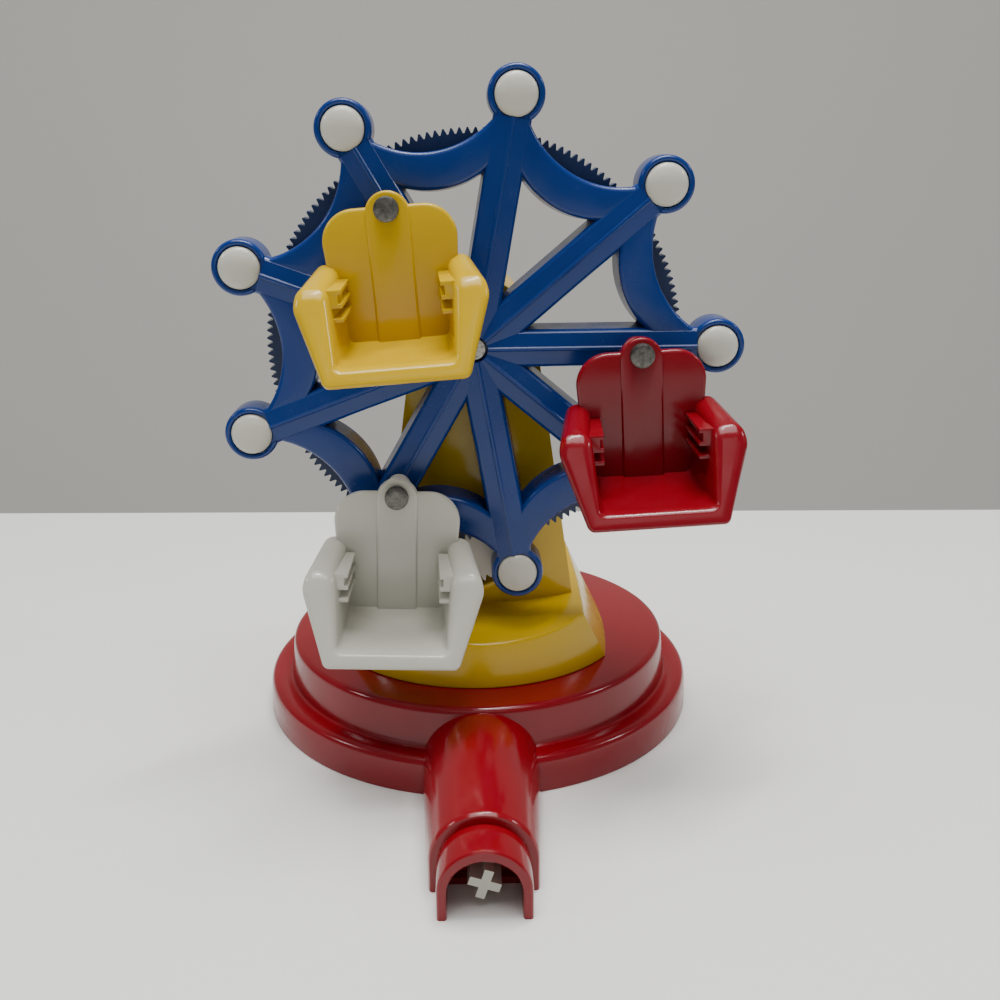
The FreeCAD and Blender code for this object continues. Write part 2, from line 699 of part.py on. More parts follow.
def idler_gear():
    tooth_at = 90.0 + 180.0 / IDLER_TEETH
    y0 = GEAR_Y[0] + 0.3
    y1 = GEAR_Y[1] - 0.3
    teeth = gear(IDLER_TEETH, SMALL_MODULE, y0, y1, IDLER_Z, tooth_at)
    dish = cylinder_y(14.6, y0 - 1, y0 + 1.1, 0, IDLER_Z).cut(cylinder_y(4.4, -40, 0, 0, IDLER_Z))
    teeth = teeth.cut(dish)
    return teeth.cut(cylinder_y(IDLER_PIN_R + RUN_FIT, -40, 0, 0, IDLER_Z))


def idler_pin():
    head = cylinder_y(3.4, GEAR_Y[0] - 1.4, GEAR_Y[0], 0, IDLER_Z)
    return head.fuse(cylinder_y(IDLER_PIN_R, GEAR_Y[0] - 0.5, SPLIT_Y + 5.5, 0, IDLER_Z)).removeSplitter()


CROSS_TIP_R = 3.45
CROSS_ARM = 2.0
CROSS_TURN = 18.0
SHAFT_FRONT_Y = -101.6


def cross_bar(y0, y1):
    half = CROSS_ARM / 2
    bars = box(-CROSS_TIP_R, CROSS_TIP_R, y0, y1, -half, half)
    bars = bars.fuse(box(-half, half, y0, y1, -CROSS_TIP_R, CROSS_TIP_R))
    bars.rotate(V(0, 0, 0), Y_AXIS, CROSS_TURN)
    bars.translate(V(0, 0, DRIVE_Z))
    return bars


def drive_shaft():
    journal = cylinder_y(JOURNAL_R, SADDLE_Y[0] - 0.6, BEARING_RIB_Y[1] + 0.6, 0, DRIVE_Z)
    neck = cylinder_y(2.6, -24, GEAR_Y[0] + 0.2, 0, DRIVE_Z)
    teeth = gear(DRIVE_TEETH, SMALL_MODULE, GEAR_Y[0], GEAR_Y[1], DRIVE_Z, 90)
    tail = cylinder_y(REAR_JOURNAL_R, GEAR_Y[1] - 0.2, SPLIT_Y + BULKHEAD_T + 0.6, 0, DRIVE_Z)
    return fuse_all([cross_bar(SHAFT_FRONT_Y, -23), journal, neck, teeth, tail])


# Seat, drawn with its rivet's axis through the origin, then hung on the wheel

PAN_FRONT_Z = -31.8
PAN_REAR_Z = -28.4
SEAT_BOTTOM_Z = -35.2
ARM_TOP_Y = -56.4
ARM_TOP_Z = -14.0


def bucket_section(y, bottom_x, wide_x, wide_z, top_x, top_z, inner_x, inner_z, pan_x, pan_z):
    # Both armrests, the side walls and the pan, as one closed outline across the seat
    def side(s):
        foot_a = V(s * (bottom_x - 2.6), y, SEAT_BOTTOM_Z)
        foot_mid = V(s * (bottom_x - 0.7), y, SEAT_BOTTOM_Z + 0.7)
        foot_b = V(s * (bottom_x + 0.4), y, SEAT_BOTTOM_Z + 2.6)
        wide = V(s * wide_x, y, wide_z)
        return foot_a, foot_mid, foot_b, wide, V(s * top_x, y, top_z), V(s * inner_x, y, inner_z)

    right = side(1)
    left = side(-1)
    pan_right = V(pan_x, y, pan_z)
    pan_left = V(-pan_x, y, pan_z)
    return Part.Wire([
        line(left[0], right[0]),
        arc(right[0], right[1], right[2]),
        line(right[2], right[3]),
        arc(right[3], right[4], right[5]),
        line(right[5], pan_right),
        line(pan_right, pan_left),
        line(pan_left, left[5]),
        arc(left[5], left[4], left[3]),
        line(left[3], left[2]),
        arc(left[2], left[1], left[0]),
    ])


def seat_bucket():
    rear = bucket_section(SEAT_FACE_Y + 1.5, 14.8, 17.9, -16.0, 15.8, -10.9, 12.4, -14.4, 11.2, PAN_REAR_Z)
    middle = bucket_section(-58.0, 15.6, 21.0, -18.6, 17.9, -12.9, 14.0, -16.4, 12.1, -31.2)
    front = bucket_section(SEAT_FRONT_Y - 1.0, 16.0, 22.4, -20.2, 18.9, -14.4, 14.9, -17.8, 12.7, PAN_FRONT_Z)
    bucket = Part.makeLoft([rear, middle, front], True, False)
    return bucket.cut(beyond_front())


def beyond_front():
    # What the slanting front takes off: the arms end further back at their tops.
    rise = ARM_TOP_Z - SEAT_BOTTOM_Z
    run = (ARM_TOP_Y - SEAT_FRONT_Y) / rise
    top_z = 0.0
    top_y = SEAT_FRONT_Y + run * (top_z - SEAT_BOTTOM_Z)
    wedge = polygon_face([
        V(-30, SEAT_FRONT_Y, SEAT_BOTTOM_Z),
        V(-30, top_y, top_z),
        V(-30, SEAT_FRONT_Y - 20, top_z),
        V(-30, SEAT_FRONT_Y - 20, SEAT_BOTTOM_Z - 5),
        V(-30, SEAT_FRONT_Y - run * 5, SEAT_BOTTOM_Z - 5),
    ])
    return wedge.extrude(V(60, 0, 0))


def seat_back():
    shoulder_x = 15.2
    shoulder_z = -8.6
    lobe_x = 5.4
    low_x = 14.2
    low_z = -30.0
    diagonal = 9.0 * math.sqrt(0.5)
    outline = [
        line(V(-low_x, SEAT_BACK_Y, low_z), V(low_x, SEAT_BACK_Y, low_z)),
        line(V(low_x, SEAT_BACK_Y, low_z), V(shoulder_x, SEAT_BACK_Y, shoulder_z)),
        arc(
            V(shoulder_x, SEAT_BACK_Y, shoulder_z),
            V(shoulder_x - 9.0 + diagonal, SEAT_BACK_Y, shoulder_z + diagonal),
            V(lobe_x, SEAT_BACK_Y, shoulder_z + 9.0),
        ),
        line(V(lobe_x, SEAT_BACK_Y, shoulder_z + 9.0), V(lobe_x, SEAT_BACK_Y, -1.0)),
        arc(V(lobe_x, SEAT_BACK_Y, -1.0), V(0, SEAT_BACK_Y, 4.4), V(-lobe_x, SEAT_BACK_Y, -1.0)),
        line(V(-lobe_x, SEAT_BACK_Y, -1.0), V(-lobe_x, SEAT_BACK_Y, shoulder_z + 9.0)),
        arc(
            V(-lobe_x, SEAT_BACK_Y, shoulder_z + 9.0),
            V(-shoulder_x + 9.0 - diagonal, SEAT_BACK_Y, shoulder_z + diagonal),
            V(-shoulder_x, SEAT_BACK_Y, shoulder_z),
        ),
        line(V(-shoulder_x, SEAT_BACK_Y, shoulder_z), V(-low_x, SEAT_BACK_Y, low_z)),
    ]
    side_face_y = SEAT_FACE_Y + 0.5
    plate = face(outline).extrude(V(0, side_face_y - SEAT_BACK_Y, 0))
    centre = box(-4.9, 4.9, SEAT_FACE_Y, SEAT_BACK_Y, low_z, -1.0)
    crown = cylinder_y(4.9, SEAT_FACE_Y, SEAT_BACK_Y, 0, -1.0)
    plate = plate.multiFuse([centre, crown])
    for s in (-1, 1):
        plate = plate.cut(box(s * 5.2 - 0.3, s * 5.2 + 0.3, SEAT_FACE_Y - 1, SEAT_FACE_Y + 1.1, low_z, 2.0))
    return plate


def seat_clip(s):
    # Three prongs on a pad, inside an armrest
    pad = box(13.0, 15.4, -56.6, -52.4, -23.0, -14.2)
    parts = [pad]
    for k in range(3):
        top = -13.6 - 3.4 * k
        parts.append(box(10.4, 13.8, -56.8, -52.4, top - 2.2, top))
    clip = fuse_all(parts)
    if s < 0:
        clip = clip.mirror(V(0, 0, 0), X_AXIS)
    return clip


def seat_form():
    made = [seat_bucket(), seat_back(), seat_clip(1), seat_clip(-1)]
    made.append(cylinder_y(SEAT_BOSS_R, SEAT_BACK_Y - 0.5, WEB_FRONT_Y - SPOKE_RIDGE - 0.3))
    made.append(cylinder_y(RIVET_HEAD_R + 0.4, SEAT_FACE_Y - 0.6, SEAT_FACE_Y + 1))
    seat = fuse_all(made)
    return seat.cut(cylinder_y(RIVET_R + RUN_FIT, -60, 0))


def seat_rivet_form():
    head = cylinder_y(RIVET_HEAD_R, SEAT_FACE_Y - 0.65 - RIVET_HEAD_T, SEAT_FACE_Y - 0.65)
    edge = [e for e in head.Edges if e.BoundBox.YMax < SEAT_FACE_Y - RIVET_HEAD_T]
    head = head.makeChamfer(0.4, edge)
    shank = cylinder_y(RIVET_R, SEAT_FACE_Y - 1, WEB_BACK_Y + 0.5)
    tail = cylinder_y(2.3, WEB_BACK_Y + 0.05, WEB_BACK_Y + 0.9)
    return fuse_all([head, shank, tail])


def hung(shape, angle, tilt):
    placed = spun(shape, tilt)
    placed.translate(polar(PIVOT_R, angle, 0))
    placed.translate(V(0, 0, HUB_Z))
    return placed


def main():
    os.makedirs("parts", exist_ok=True)
    outer, hollow = tower_bodies()
    nodes = {
        "base_shell": base_shell(),
        "bottom_cover": bottom_cover(),
        "cover_screws": cover_screws(),
        "foot_screws": foot_screws(),
        "tower_front": tower_front(outer, hollow),
        "tower_rear": tower_rear(outer, hollow),
        "tower_screws": tower_screws(),
        "wheel_axle": wheel_axle(),
        "axle_washer": axle_washer(),
        "wheel_web": wheel_web(),
        "ring_gear": ring_gear(),
        "wheel_pinion": wheel_pinion(),
        "transfer_gear": transfer_gear(),
        "idler_gear": idler_gear(),
        "idler_pin": idler_pin(),
        "drive_shaft": drive_shaft(),
    }
    for k in range(SPOKES):
        nodes["rim_cap_%d" % (k + 1)] = rim_cap(k)
    seat = seat_form()
    rivet = seat_rivet_form()
    for name, angle, tilt in SEAT_ANGLES:
        nodes["seat_" + name] = hung(seat, angle, tilt)
        nodes["seat_rivet_" + name] = hung(rivet, angle, 0)
    for name, shape in nodes.items():
        shape.exportStep("parts/" + name + ".step")
        kinds = len(shape.Solids)
        print(name, "solids", kinds, "valid", shape.isValid(), "volume", round(shape.Volume, 1))


main()
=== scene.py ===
import bpy
import bmesh
import math
from mathutils import Matrix, Vector


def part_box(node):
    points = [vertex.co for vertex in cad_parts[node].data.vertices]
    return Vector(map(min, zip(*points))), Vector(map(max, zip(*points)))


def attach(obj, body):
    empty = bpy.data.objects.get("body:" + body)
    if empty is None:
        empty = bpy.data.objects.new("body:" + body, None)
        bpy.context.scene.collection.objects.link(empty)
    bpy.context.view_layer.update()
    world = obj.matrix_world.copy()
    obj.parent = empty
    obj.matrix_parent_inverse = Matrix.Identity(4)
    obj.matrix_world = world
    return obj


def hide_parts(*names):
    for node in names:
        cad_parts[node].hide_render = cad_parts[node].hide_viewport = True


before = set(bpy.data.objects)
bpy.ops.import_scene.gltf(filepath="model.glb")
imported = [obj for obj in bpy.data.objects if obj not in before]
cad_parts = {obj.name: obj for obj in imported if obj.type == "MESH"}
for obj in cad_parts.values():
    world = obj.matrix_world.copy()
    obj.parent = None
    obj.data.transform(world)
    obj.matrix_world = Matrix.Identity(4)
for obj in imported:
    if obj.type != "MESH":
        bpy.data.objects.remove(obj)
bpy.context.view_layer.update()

bl_info = {
    "name": "Ferris wheel toy builder",
    "version": (1, 0, 0),
    "blender": (4, 5, 0),
    "location": "3D View > Sidebar > Ferris Wheel",
    "description": "Models the hand-driven Ferris wheel toy piece by piece",
    "category": "Add Mesh",
}

MM = 0.001
SPOKES = 9
STEP = 2 * math.pi / SPOKES

# Depths and radii of the wheel, in millimetres. Y runs from the viewer back, so the front is at a minus.
HUB_BORE_R = 3.15
WEB_BACK = 29.6
WEB_FRONT = 34.15
GAP_CENTRE = 59.0
GAP_R = 21.4
SCALLOP_CENTRE = 69.6
SCALLOP_R = 23.4
RING_TOP, RING_BOTTOM = 27.2, 22.2
RING_BORE_R, RING_LIP_R = 43.2, 45.4
TOOTH_ROOT_R, TOOTH_MIDDLE_R, TOOTH_TIP_R = 49.35, 50.03, 50.7
POINTS_PER_TOOTH = 6
TIP_POINTS, FLANK_POINTS, ROOT_POINTS = (0, 1), (2, 5), (3, 4)
CAP_R, CAP_EDGE, CAP_RISE = 4.97, 34.1, 2.05

# Base, tower and seats, in millimetres
DECK_Z = 20.2
LEDGE_Z = 35.0
SEAT_REAR_Y = 42.6
SEAT_BOTTOM_Z = -35.2
SEAT_FRONT_ROUND = 2.6
ARM_FRONT_SLOPE = 0.427
WIDEST_SEAT = 42.6

# Heights that the frame's solids give, in millimetres
HUB_Z = sum(c[2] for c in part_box("wheel_axle")) / 2 / MM
PINION_Z = sum(c[2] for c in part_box("transfer_gear")) / 2 / MM

# Each seat's colour, its place round the wheel and its tilt in the photograph, in degrees
SEATS = (("yellow", 120.0, 4.0), ("white", 240.0, -2.0), ("red", 0.0, 3.0))
PIVOT_R = 38.4


def linear(hex_colour):
    def one(c):
        c = c / 255.0
        return c / 12.92 if c <= 0.04045 else ((c + 0.055) / 1.055) ** 2.4
    value = int(hex_colour.lstrip("#"), 16)
    return (one((value >> 16) & 255), one((value >> 8) & 255), one(value & 255), 1.0)


def size_of(name, description, size):
    return bpy.props.FloatProperty(
        name=name, description=description, default=size * MM, unit="LENGTH", subtype="DISTANCE", precision=4)


def colour_of(name, description, hex_colour):
    return bpy.props.FloatVectorProperty(
        name=name, description=description, default=linear(hex_colour), subtype="COLOR", size=4, min=0.0, max=1.0)


class BaseSizes(bpy.types.PropertyGroup):
    flange_radius: size_of("Flange radius", "Outer radius of the base", 60.2)
    step_radius: size_of("Step radius", "Radius of the upper step of the base", 54.0)


class WheelSizes(bpy.types.PropertyGroup):
    lobe_circle: size_of("Lobe circle", "Radius of the circle that the nine lobes sit on", 58.3)
    spoke_width: size_of("Spoke width", "Width of a spoke", 8.9)
    ring_teeth: bpy.props.IntProperty(
        name="Ring teeth", description="Number of teeth on the ring gear", default=167, min=20)


class SeatSizes(bpy.types.PropertyGroup):
    arm_width: size_of("Width over arms", "Largest width of a seat", WIDEST_SEAT)
    depth: size_of("Seat depth", "From the rear of the bucket to its front lip", 24.8)


class Colours(bpy.types.PropertyGroup):
    blue: colour_of("Wheel", "Colour of the wheel's moulding", "#08327A")
    red: colour_of("Base", "Colour of the base's moulding", "#880A19")
    seat_red: colour_of("Red seat", "Colour of the red seat's moulding", "#820919")
    yellow: colour_of("Yellow", "Colour of the tower's and the yellow seat's moulding", "#CDA800")
    white: colour_of("White", "Colour of the caps', the white seat's and the gears' moulding", "#C6C4B9")


# Modelling helpers. Sizes go in as millimetres, and meshes are made in metres.

def mm(x, y, z):
    return (x * MM, y * MM, z * MM)


def free_hands():
    if bpy.context.object and bpy.context.object.mode != "OBJECT":
        bpy.ops.object.mode_set(mode="OBJECT")
    bpy.ops.object.select_all(action="DESELECT")


def take(obj):
    """Makes one piece the only one in hand."""
    free_hands()
    obj.select_set(True)
    bpy.context.view_layer.objects.active = obj
    return obj


def edit():
    bpy.ops.object.mode_set(mode="EDIT")
    bpy.ops.mesh.select_mode(type="VERT")


def pick_all():
    bpy.ops.mesh.select_all(action="SELECT")


def face_outwards():
    pick_all()
    bpy.ops.mesh.normals_make_consistent(inside=False)


def done_editing():
    bpy.ops.object.mode_set(mode="OBJECT")
    return bpy.context.object


def pick(test, kind="VERT"):
    """Selects the vertices, edges or faces of the piece in hand that pass a test."""
    mesh = bpy.context.object.data
    bpy.ops.mesh.select_mode(type=kind)
    bpy.ops.mesh.select_all(action="DESELECT")
    bm = bmesh.from_edit_mesh(mesh)
    sequence = {"VERT": bm.verts, "EDGE": bm.edges, "FACE": bm.faces}[kind]
    for element in sequence:
        element.select_set(bool(test(element)))
    bm.select_flush_mode()
    bmesh.update_edit_mesh(mesh)


def apply_place():
    bpy.ops.object.transform_apply(location=True, rotation=True, scale=True)


def grow(dx=0.0, dy=0.0, dz=0.0):
    """Extrudes what is selected and moves it, in millimetres."""
    bpy.ops.mesh.extrude_region_move(TRANSFORM_OT_translate={"value": mm(dx, dy, dz)})


def lathe(rings, segments=64, filled=True, closed=False):
    """A turned piece about Z: rings are (radius, height) in millimetres, in order along the profile."""
    free_hands()
    r0, z0 = rings[0]
    fill = "NGON" if filled else "NOTHING"
    bpy.ops.mesh.primitive_circle_add(vertices=segments, radius=r0 * MM, fill_type=fill, location=mm(0, 0, z0))
    apply_place()
    edit()
    pick_all()
    r_now, z_now = r0, z0
    for r, z in rings[1:]:
        grow(0, 0, z - z_now)
        k = r / r_now
        if abs(k - 1) > 1e-9:
            bpy.ops.transform.resize(value=(k, k, 1), center_override=mm(0, 0, z))
        r_now, z_now = r, z
    pick_all()
    if closed:
        bpy.ops.mesh.remove_doubles(threshold=1e-6)
    bpy.ops.mesh.normals_make_consistent(inside=False)
    return done_editing()


def face_front(obj, x=0.0, y=0.0, z=0.0):
    """Turns a piece made about Z so that its top faces the viewer, and puts it in place."""
    take(obj)
    obj.rotation_euler = (math.pi / 2, 0, 0)
    obj.location = mm(x, y, z)
    apply_place()
    return obj


def turned_copy(obj, angle, about=(0.0, 0.0, 0.0)):
    """A copy with its own mesh, turned about an axis along Y through a point, anticlockwise from the front."""
    take(obj)
    bpy.ops.object.duplicate(linked=False)
    twin = bpy.context.object
    c = Vector(mm(*about))
    turn = Matrix.Translation(c) @ Matrix.Rotation(-angle, 4, "Y") @ Matrix.Translation(-c)
    twin.matrix_world = turn @ twin.matrix_world
    apply_place()
    return twin


def joined(objs):
    free_hands()
    for obj in objs:
        obj.select_set(True)
    bpy.context.view_layer.objects.active = objs[0]
    bpy.ops.object.join()
    return bpy.context.object


def moved(obj, x=0.0, y=0.0, z=0.0):
    take(obj)
    bpy.ops.transform.translate(value=mm(x, y, z))
    apply_place()
    return obj


def outline(points, plane="XZ", level=0.0):
    """A closed flat face through points, traced by extruding one vertex along them."""
    free_hands()

    def place(p):
        return mm(p[0], level, p[1]) if plane == "XZ" else mm(p[0], p[1], level)

    bpy.ops.mesh.primitive_plane_add(size=0.001, location=place(points[0]))
    apply_place()
    edit()
    pick_all()
    bpy.ops.mesh.merge(type="CENTER")
    for a, b in zip(points, points[1:]):
        pa, pb = place(a), place(b)
        bpy.ops.mesh.extrude_region_move(
            TRANSFORM_OT_translate={"value": (pb[0] - pa[0], pb[1] - pa[1], pb[2] - pa[2])})
    pick_all()
    bpy.ops.mesh.edge_face_add()
    return done_editing()


def thickened(points, plane, level, dx=0.0, dy=0.0, dz=0.0):
    """A closed outline drawn out into a solid, in millimetres."""
    outline(points, plane, level)
    edit()
    pick_all()
    grow(dx, dy, dz)
    face_outwards()
    return done_editing()


def arc_points(cx, cz, r, start, end, steps):
    return [
        (cx + r * math.cos(start + (end - start) * i / steps), cz + r * math.sin(start + (end - start) * i / steps))
        for i in range(steps + 1)
    ]


def rounded(corners, steps=5):
    """An open run of points through corners given as (x, z, radius), each rounded by an arc."""
    points = []
    for i, (x, z, radius) in enumerate(corners):
        here = Vector((x, z))
        if not radius:
            points.append((x, z))
            continue
        before = (Vector(corners[i - 1][:2]) - here).normalized()
        after = (Vector(corners[i + 1][:2]) - here).normalized()
        half = before.angle(after) / 2
        centre = here + (before + after).normalized() * radius / math.sin(half)
        a = here + before * radius / math.tan(half) - centre
        b = here + after * radius / math.tan(half) - centre
        turn = a.angle(b)
        for k in range(steps + 1):
            t = turn * k / steps
            p = centre + (a * math.sin(turn - t) + b * math.sin(t)) / math.sin(turn)
            points.append((p.x, p.y))
    return points


def through(loops, plane="XZ"):
    """A solid through outlines with equal numbers of points, given as (level, points), in order."""
    joined([outline(points, plane, level) for level, points in loops])
    axis = 1 if plane == "XZ" else 2
    levels = [level * MM for level, points in loops]
    edit()
    pick(lambda f: min(levels) + 1e-6 < f.calc_center_median()[axis] < max(levels) - 1e-6, "FACE")
    bpy.ops.mesh.delete(type="ONLY_FACE")
    for pair in zip(levels, levels[1:]):
        pick(lambda e: any(all(abs(v.co[axis] - level) < 1e-6 for v in e.verts) for level in pair), "EDGE")
        bpy.ops.mesh.bridge_edge_loops()
    pick_all()
    bpy.ops.mesh.fill_holes(sides=0)
    face_outwards()
    return done_editing()


def boolean(obj, tool, kind="DIFFERENCE"):
    take(obj)
    cut = obj.modifiers.new("cut", "BOOLEAN")
    cut.operation = kind
    cut.solver = "EXACT"
    cut.object = tool
    bpy.ops.object.modifier_apply(modifier="cut")
    bpy.data.objects.remove(tool, do_unlink=True)
    return obj


def soften(obj, width, segments=3, angle=35.0):
    """Rounds the edges that are sharper than an angle."""
    take(obj)
    bevel = obj.modifiers.new("soft", "BEVEL")
    bevel.width = width * MM
    bevel.segments = segments
    bevel.limit_method = "ANGLE"
    bevel.angle_limit = math.radians(angle)
    bevel.use_clamp_overlap = True
    bpy.ops.object.modifier_apply(modifier="soft")
    return obj


def finish_piece(obj, name, body, material, nodes=(), angle=32.0):
    take(obj)
    obj.name = name
    obj.data.name = name
    bpy.ops.object.shade_smooth_by_angle(angle=math.radians(angle))
    obj.data.materials.clear()
    obj.data.materials.append(material)
    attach(obj, body)
    if nodes:
        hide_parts(*nodes)
    return obj


# Materials

def add_node(tree, kind, settings=None, inputs=None, links=None):
    """Adds a node, sets its properties and socket values, and links (socket, from_node, from_socket)."""
    node = tree.nodes.new(kind)
    for key, value in (settings or {}).items():
        setattr(node, key, value)
    for key, value in (inputs or {}).items():
        node.inputs[key].default_value = value
    for socket, source, output in (links or []):
        tree.links.new(source.outputs[output], node.inputs[socket])
    return node


def new_material(name):
    material = bpy.data.materials.new(name)
    material.use_nodes = True
    material.node_tree.nodes.clear()
    return material, material.node_tree


def moulded_abs(name, base, shade, roughness=0.24, subsurface=0.0, wave=0.18):
    """Injection-moulded ABS: glossy, with faint sink waves, fine specks and a soft change of tone.
    The base colour is linear, and the shade that it drifts to is given in hex."""
    material, tree = new_material(name)
    place = add_node(tree, "ShaderNodeTexCoord")
    # Slow variation of tone, about 30 mm across
    tone = add_node(tree, "ShaderNodeTexNoise", {}, {"Scale": 34.0, "Detail": 2.0, "Roughness": 0.5},
                    [("Vector", place, "Object")])
    colour = add_node(tree, "ShaderNodeMix", {"data_type": "RGBA"}, {}, [("Factor", tone, "Fac")])
    colour.inputs["A"].default_value = base
    colour.inputs["B"].default_value = linear(shade)
    # Handling smears, about 6 mm across, that dull the gloss in places
    smear = add_node(tree, "ShaderNodeTexNoise", {}, {"Scale": 160.0, "Detail": 3.0, "Roughness": 0.55},
                     [("Vector", place, "Object")])
    dull = add_node(tree, "ShaderNodeMapRange", {}, {
        "From Min": 0.35, "From Max": 0.75, "To Min": roughness - 0.05, "To Max": roughness + 0.09},
        [("Value", smear, "Fac")])
    # Sink waves of the moulding, about 12 mm across, and grain of 0.4 mm drawn coarser than the real one
    wavy = add_node(tree, "ShaderNodeTexNoise", {}, {"Scale": 85.0, "Detail": 1.0}, [("Vector", place, "Object")])
    grain = add_node(tree, "ShaderNodeTexNoise", {}, {"Scale": 1500.0, "Detail": 2.0}, [("Vector", place, "Object")])
    low = add_node(tree, "ShaderNodeBump", {}, {"Strength": wave, "Distance": 0.00025}, [("Height", wavy, "Fac")])
    fine = add_node(tree, "ShaderNodeBump", {}, {"Strength": 0.10, "Distance": 0.00004},
                    [("Height", grain, "Fac"), ("Normal", low, "Normal")])
    shader = add_node(tree, "ShaderNodeBsdfPrincipled", {}, {"IOR": 1.5, "Specular IOR Level": 0.42},
                      [("Base Color", colour, "Result"), ("Roughness", dull, "Result"), ("Normal", fine, "Normal")])
    if subsurface:
        shader.inputs["Subsurface Weight"].default_value = subsurface
        shader.inputs["Subsurface Radius"].default_value = (1.0, 0.8, 0.5)
        shader.inputs["Subsurface Scale"].default_value = 0.0015
    add_node(tree, "ShaderNodeOutputMaterial", {}, {}, [("Surface", shader, "BSDF")])
    return material


def dull_steel(name, base, roughness=0.38):
    """Cold-headed steel: grey, dull, with fine pits."""
    material, tree = new_material(name)
    place = add_node(tree, "ShaderNodeTexCoord")
    spots = add_node(tree, "ShaderNodeTexNoise", {}, {"Scale": 1100.0, "Detail": 4.0, "Roughness": 0.65},
                     [("Vector", place, "Object")])
    tone = add_node(tree, "ShaderNodeValToRGB", {}, {}, [("Fac", spots, "Fac")])
    tone.color_ramp.elements[0].position = 0.35
    tone.color_ramp.elements[0].color = tuple(c * 0.45 for c in linear(base)[:3]) + (1.0,)
    tone.color_ramp.elements[1].position = 0.62
    tone.color_ramp.elements[1].color = linear(base)
    dull = add_node(tree, "ShaderNodeMapRange", {}, {"To Min": roughness - 0.08, "To Max": roughness + 0.14},
                    [("Value", spots, "Fac")])
    bump = add_node(tree, "ShaderNodeBump", {}, {"Strength": 0.5, "Distance": 0.00008}, [("Height", spots, "Fac")])
    shader = add_node(tree, "ShaderNodeBsdfPrincipled", {}, {"Metallic": 0.92},
                      [("Base Color", tone, "Color"), ("Roughness", dull, "Result"), ("Normal", bump, "Normal")])
    add_node(tree, "ShaderNodeOutputMaterial", {}, {}, [("Surface", shader, "BSDF")])
    return material


def matt_paint(name, base, shade, scale=6.0, roughness=0.75):
    """Painted board of the studio: matt, with a faint unevenness."""
    material, tree = new_material(name)
    place = add_node(tree, "ShaderNodeTexCoord")
    tone = add_node(tree, "ShaderNodeTexNoise", {}, {"Scale": scale, "Detail": 3.0}, [("Vector", place, "Object")])
    colour = add_node(tree, "ShaderNodeMix", {"data_type": "RGBA"}, {}, [("Factor", tone, "Fac")])
    colour.inputs["A"].default_value = linear(base)
    colour.inputs["B"].default_value = linear(shade)
    shader = add_node(tree, "ShaderNodeBsdfPrincipled", {}, {"Roughness": roughness},
                      [("Base Color", colour, "Result")])
    add_node(tree, "ShaderNodeOutputMaterial", {}, {}, [("Surface", shader, "BSDF")])
    return material


FINISHES = {}


def prepare_finishes():
    colours = bpy.context.scene.wheel_toy_colours
    FINISHES["blue"] = moulded_abs("Blue moulded ABS", colours.blue, "#062A69", 0.22)
    # The ring gear's finish is the wheel's blue moulding made darker: painted shade for the shadow that falls on the
    # ring behind the web.
    FINISHES["dark_blue"] = moulded_abs("Blue moulded ABS, painted shade", linear("#062654"), "#041D44", 0.30)
    FINISHES["red"] = moulded_abs("Red moulded ABS, base", colours.red, "#7A0714", 0.16)
    FINISHES["seat_red"] = moulded_abs("Red moulded ABS, seat", colours.seat_red, "#750715", 0.18)
    FINISHES["yellow"] = moulded_abs("Yellow moulded ABS", colours.yellow, "#C29C00", 0.18)
    FINISHES["white"] = moulded_abs("White moulded ABS", colours.white, "#BEBCB0", 0.18, 0.03)
    FINISHES["steel"] = dull_steel("Dull headed steel", "#75736E")
    FINISHES["bright_steel"] = dull_steel("Drawn steel wire", "#B8B5AE", 0.28)


# Base

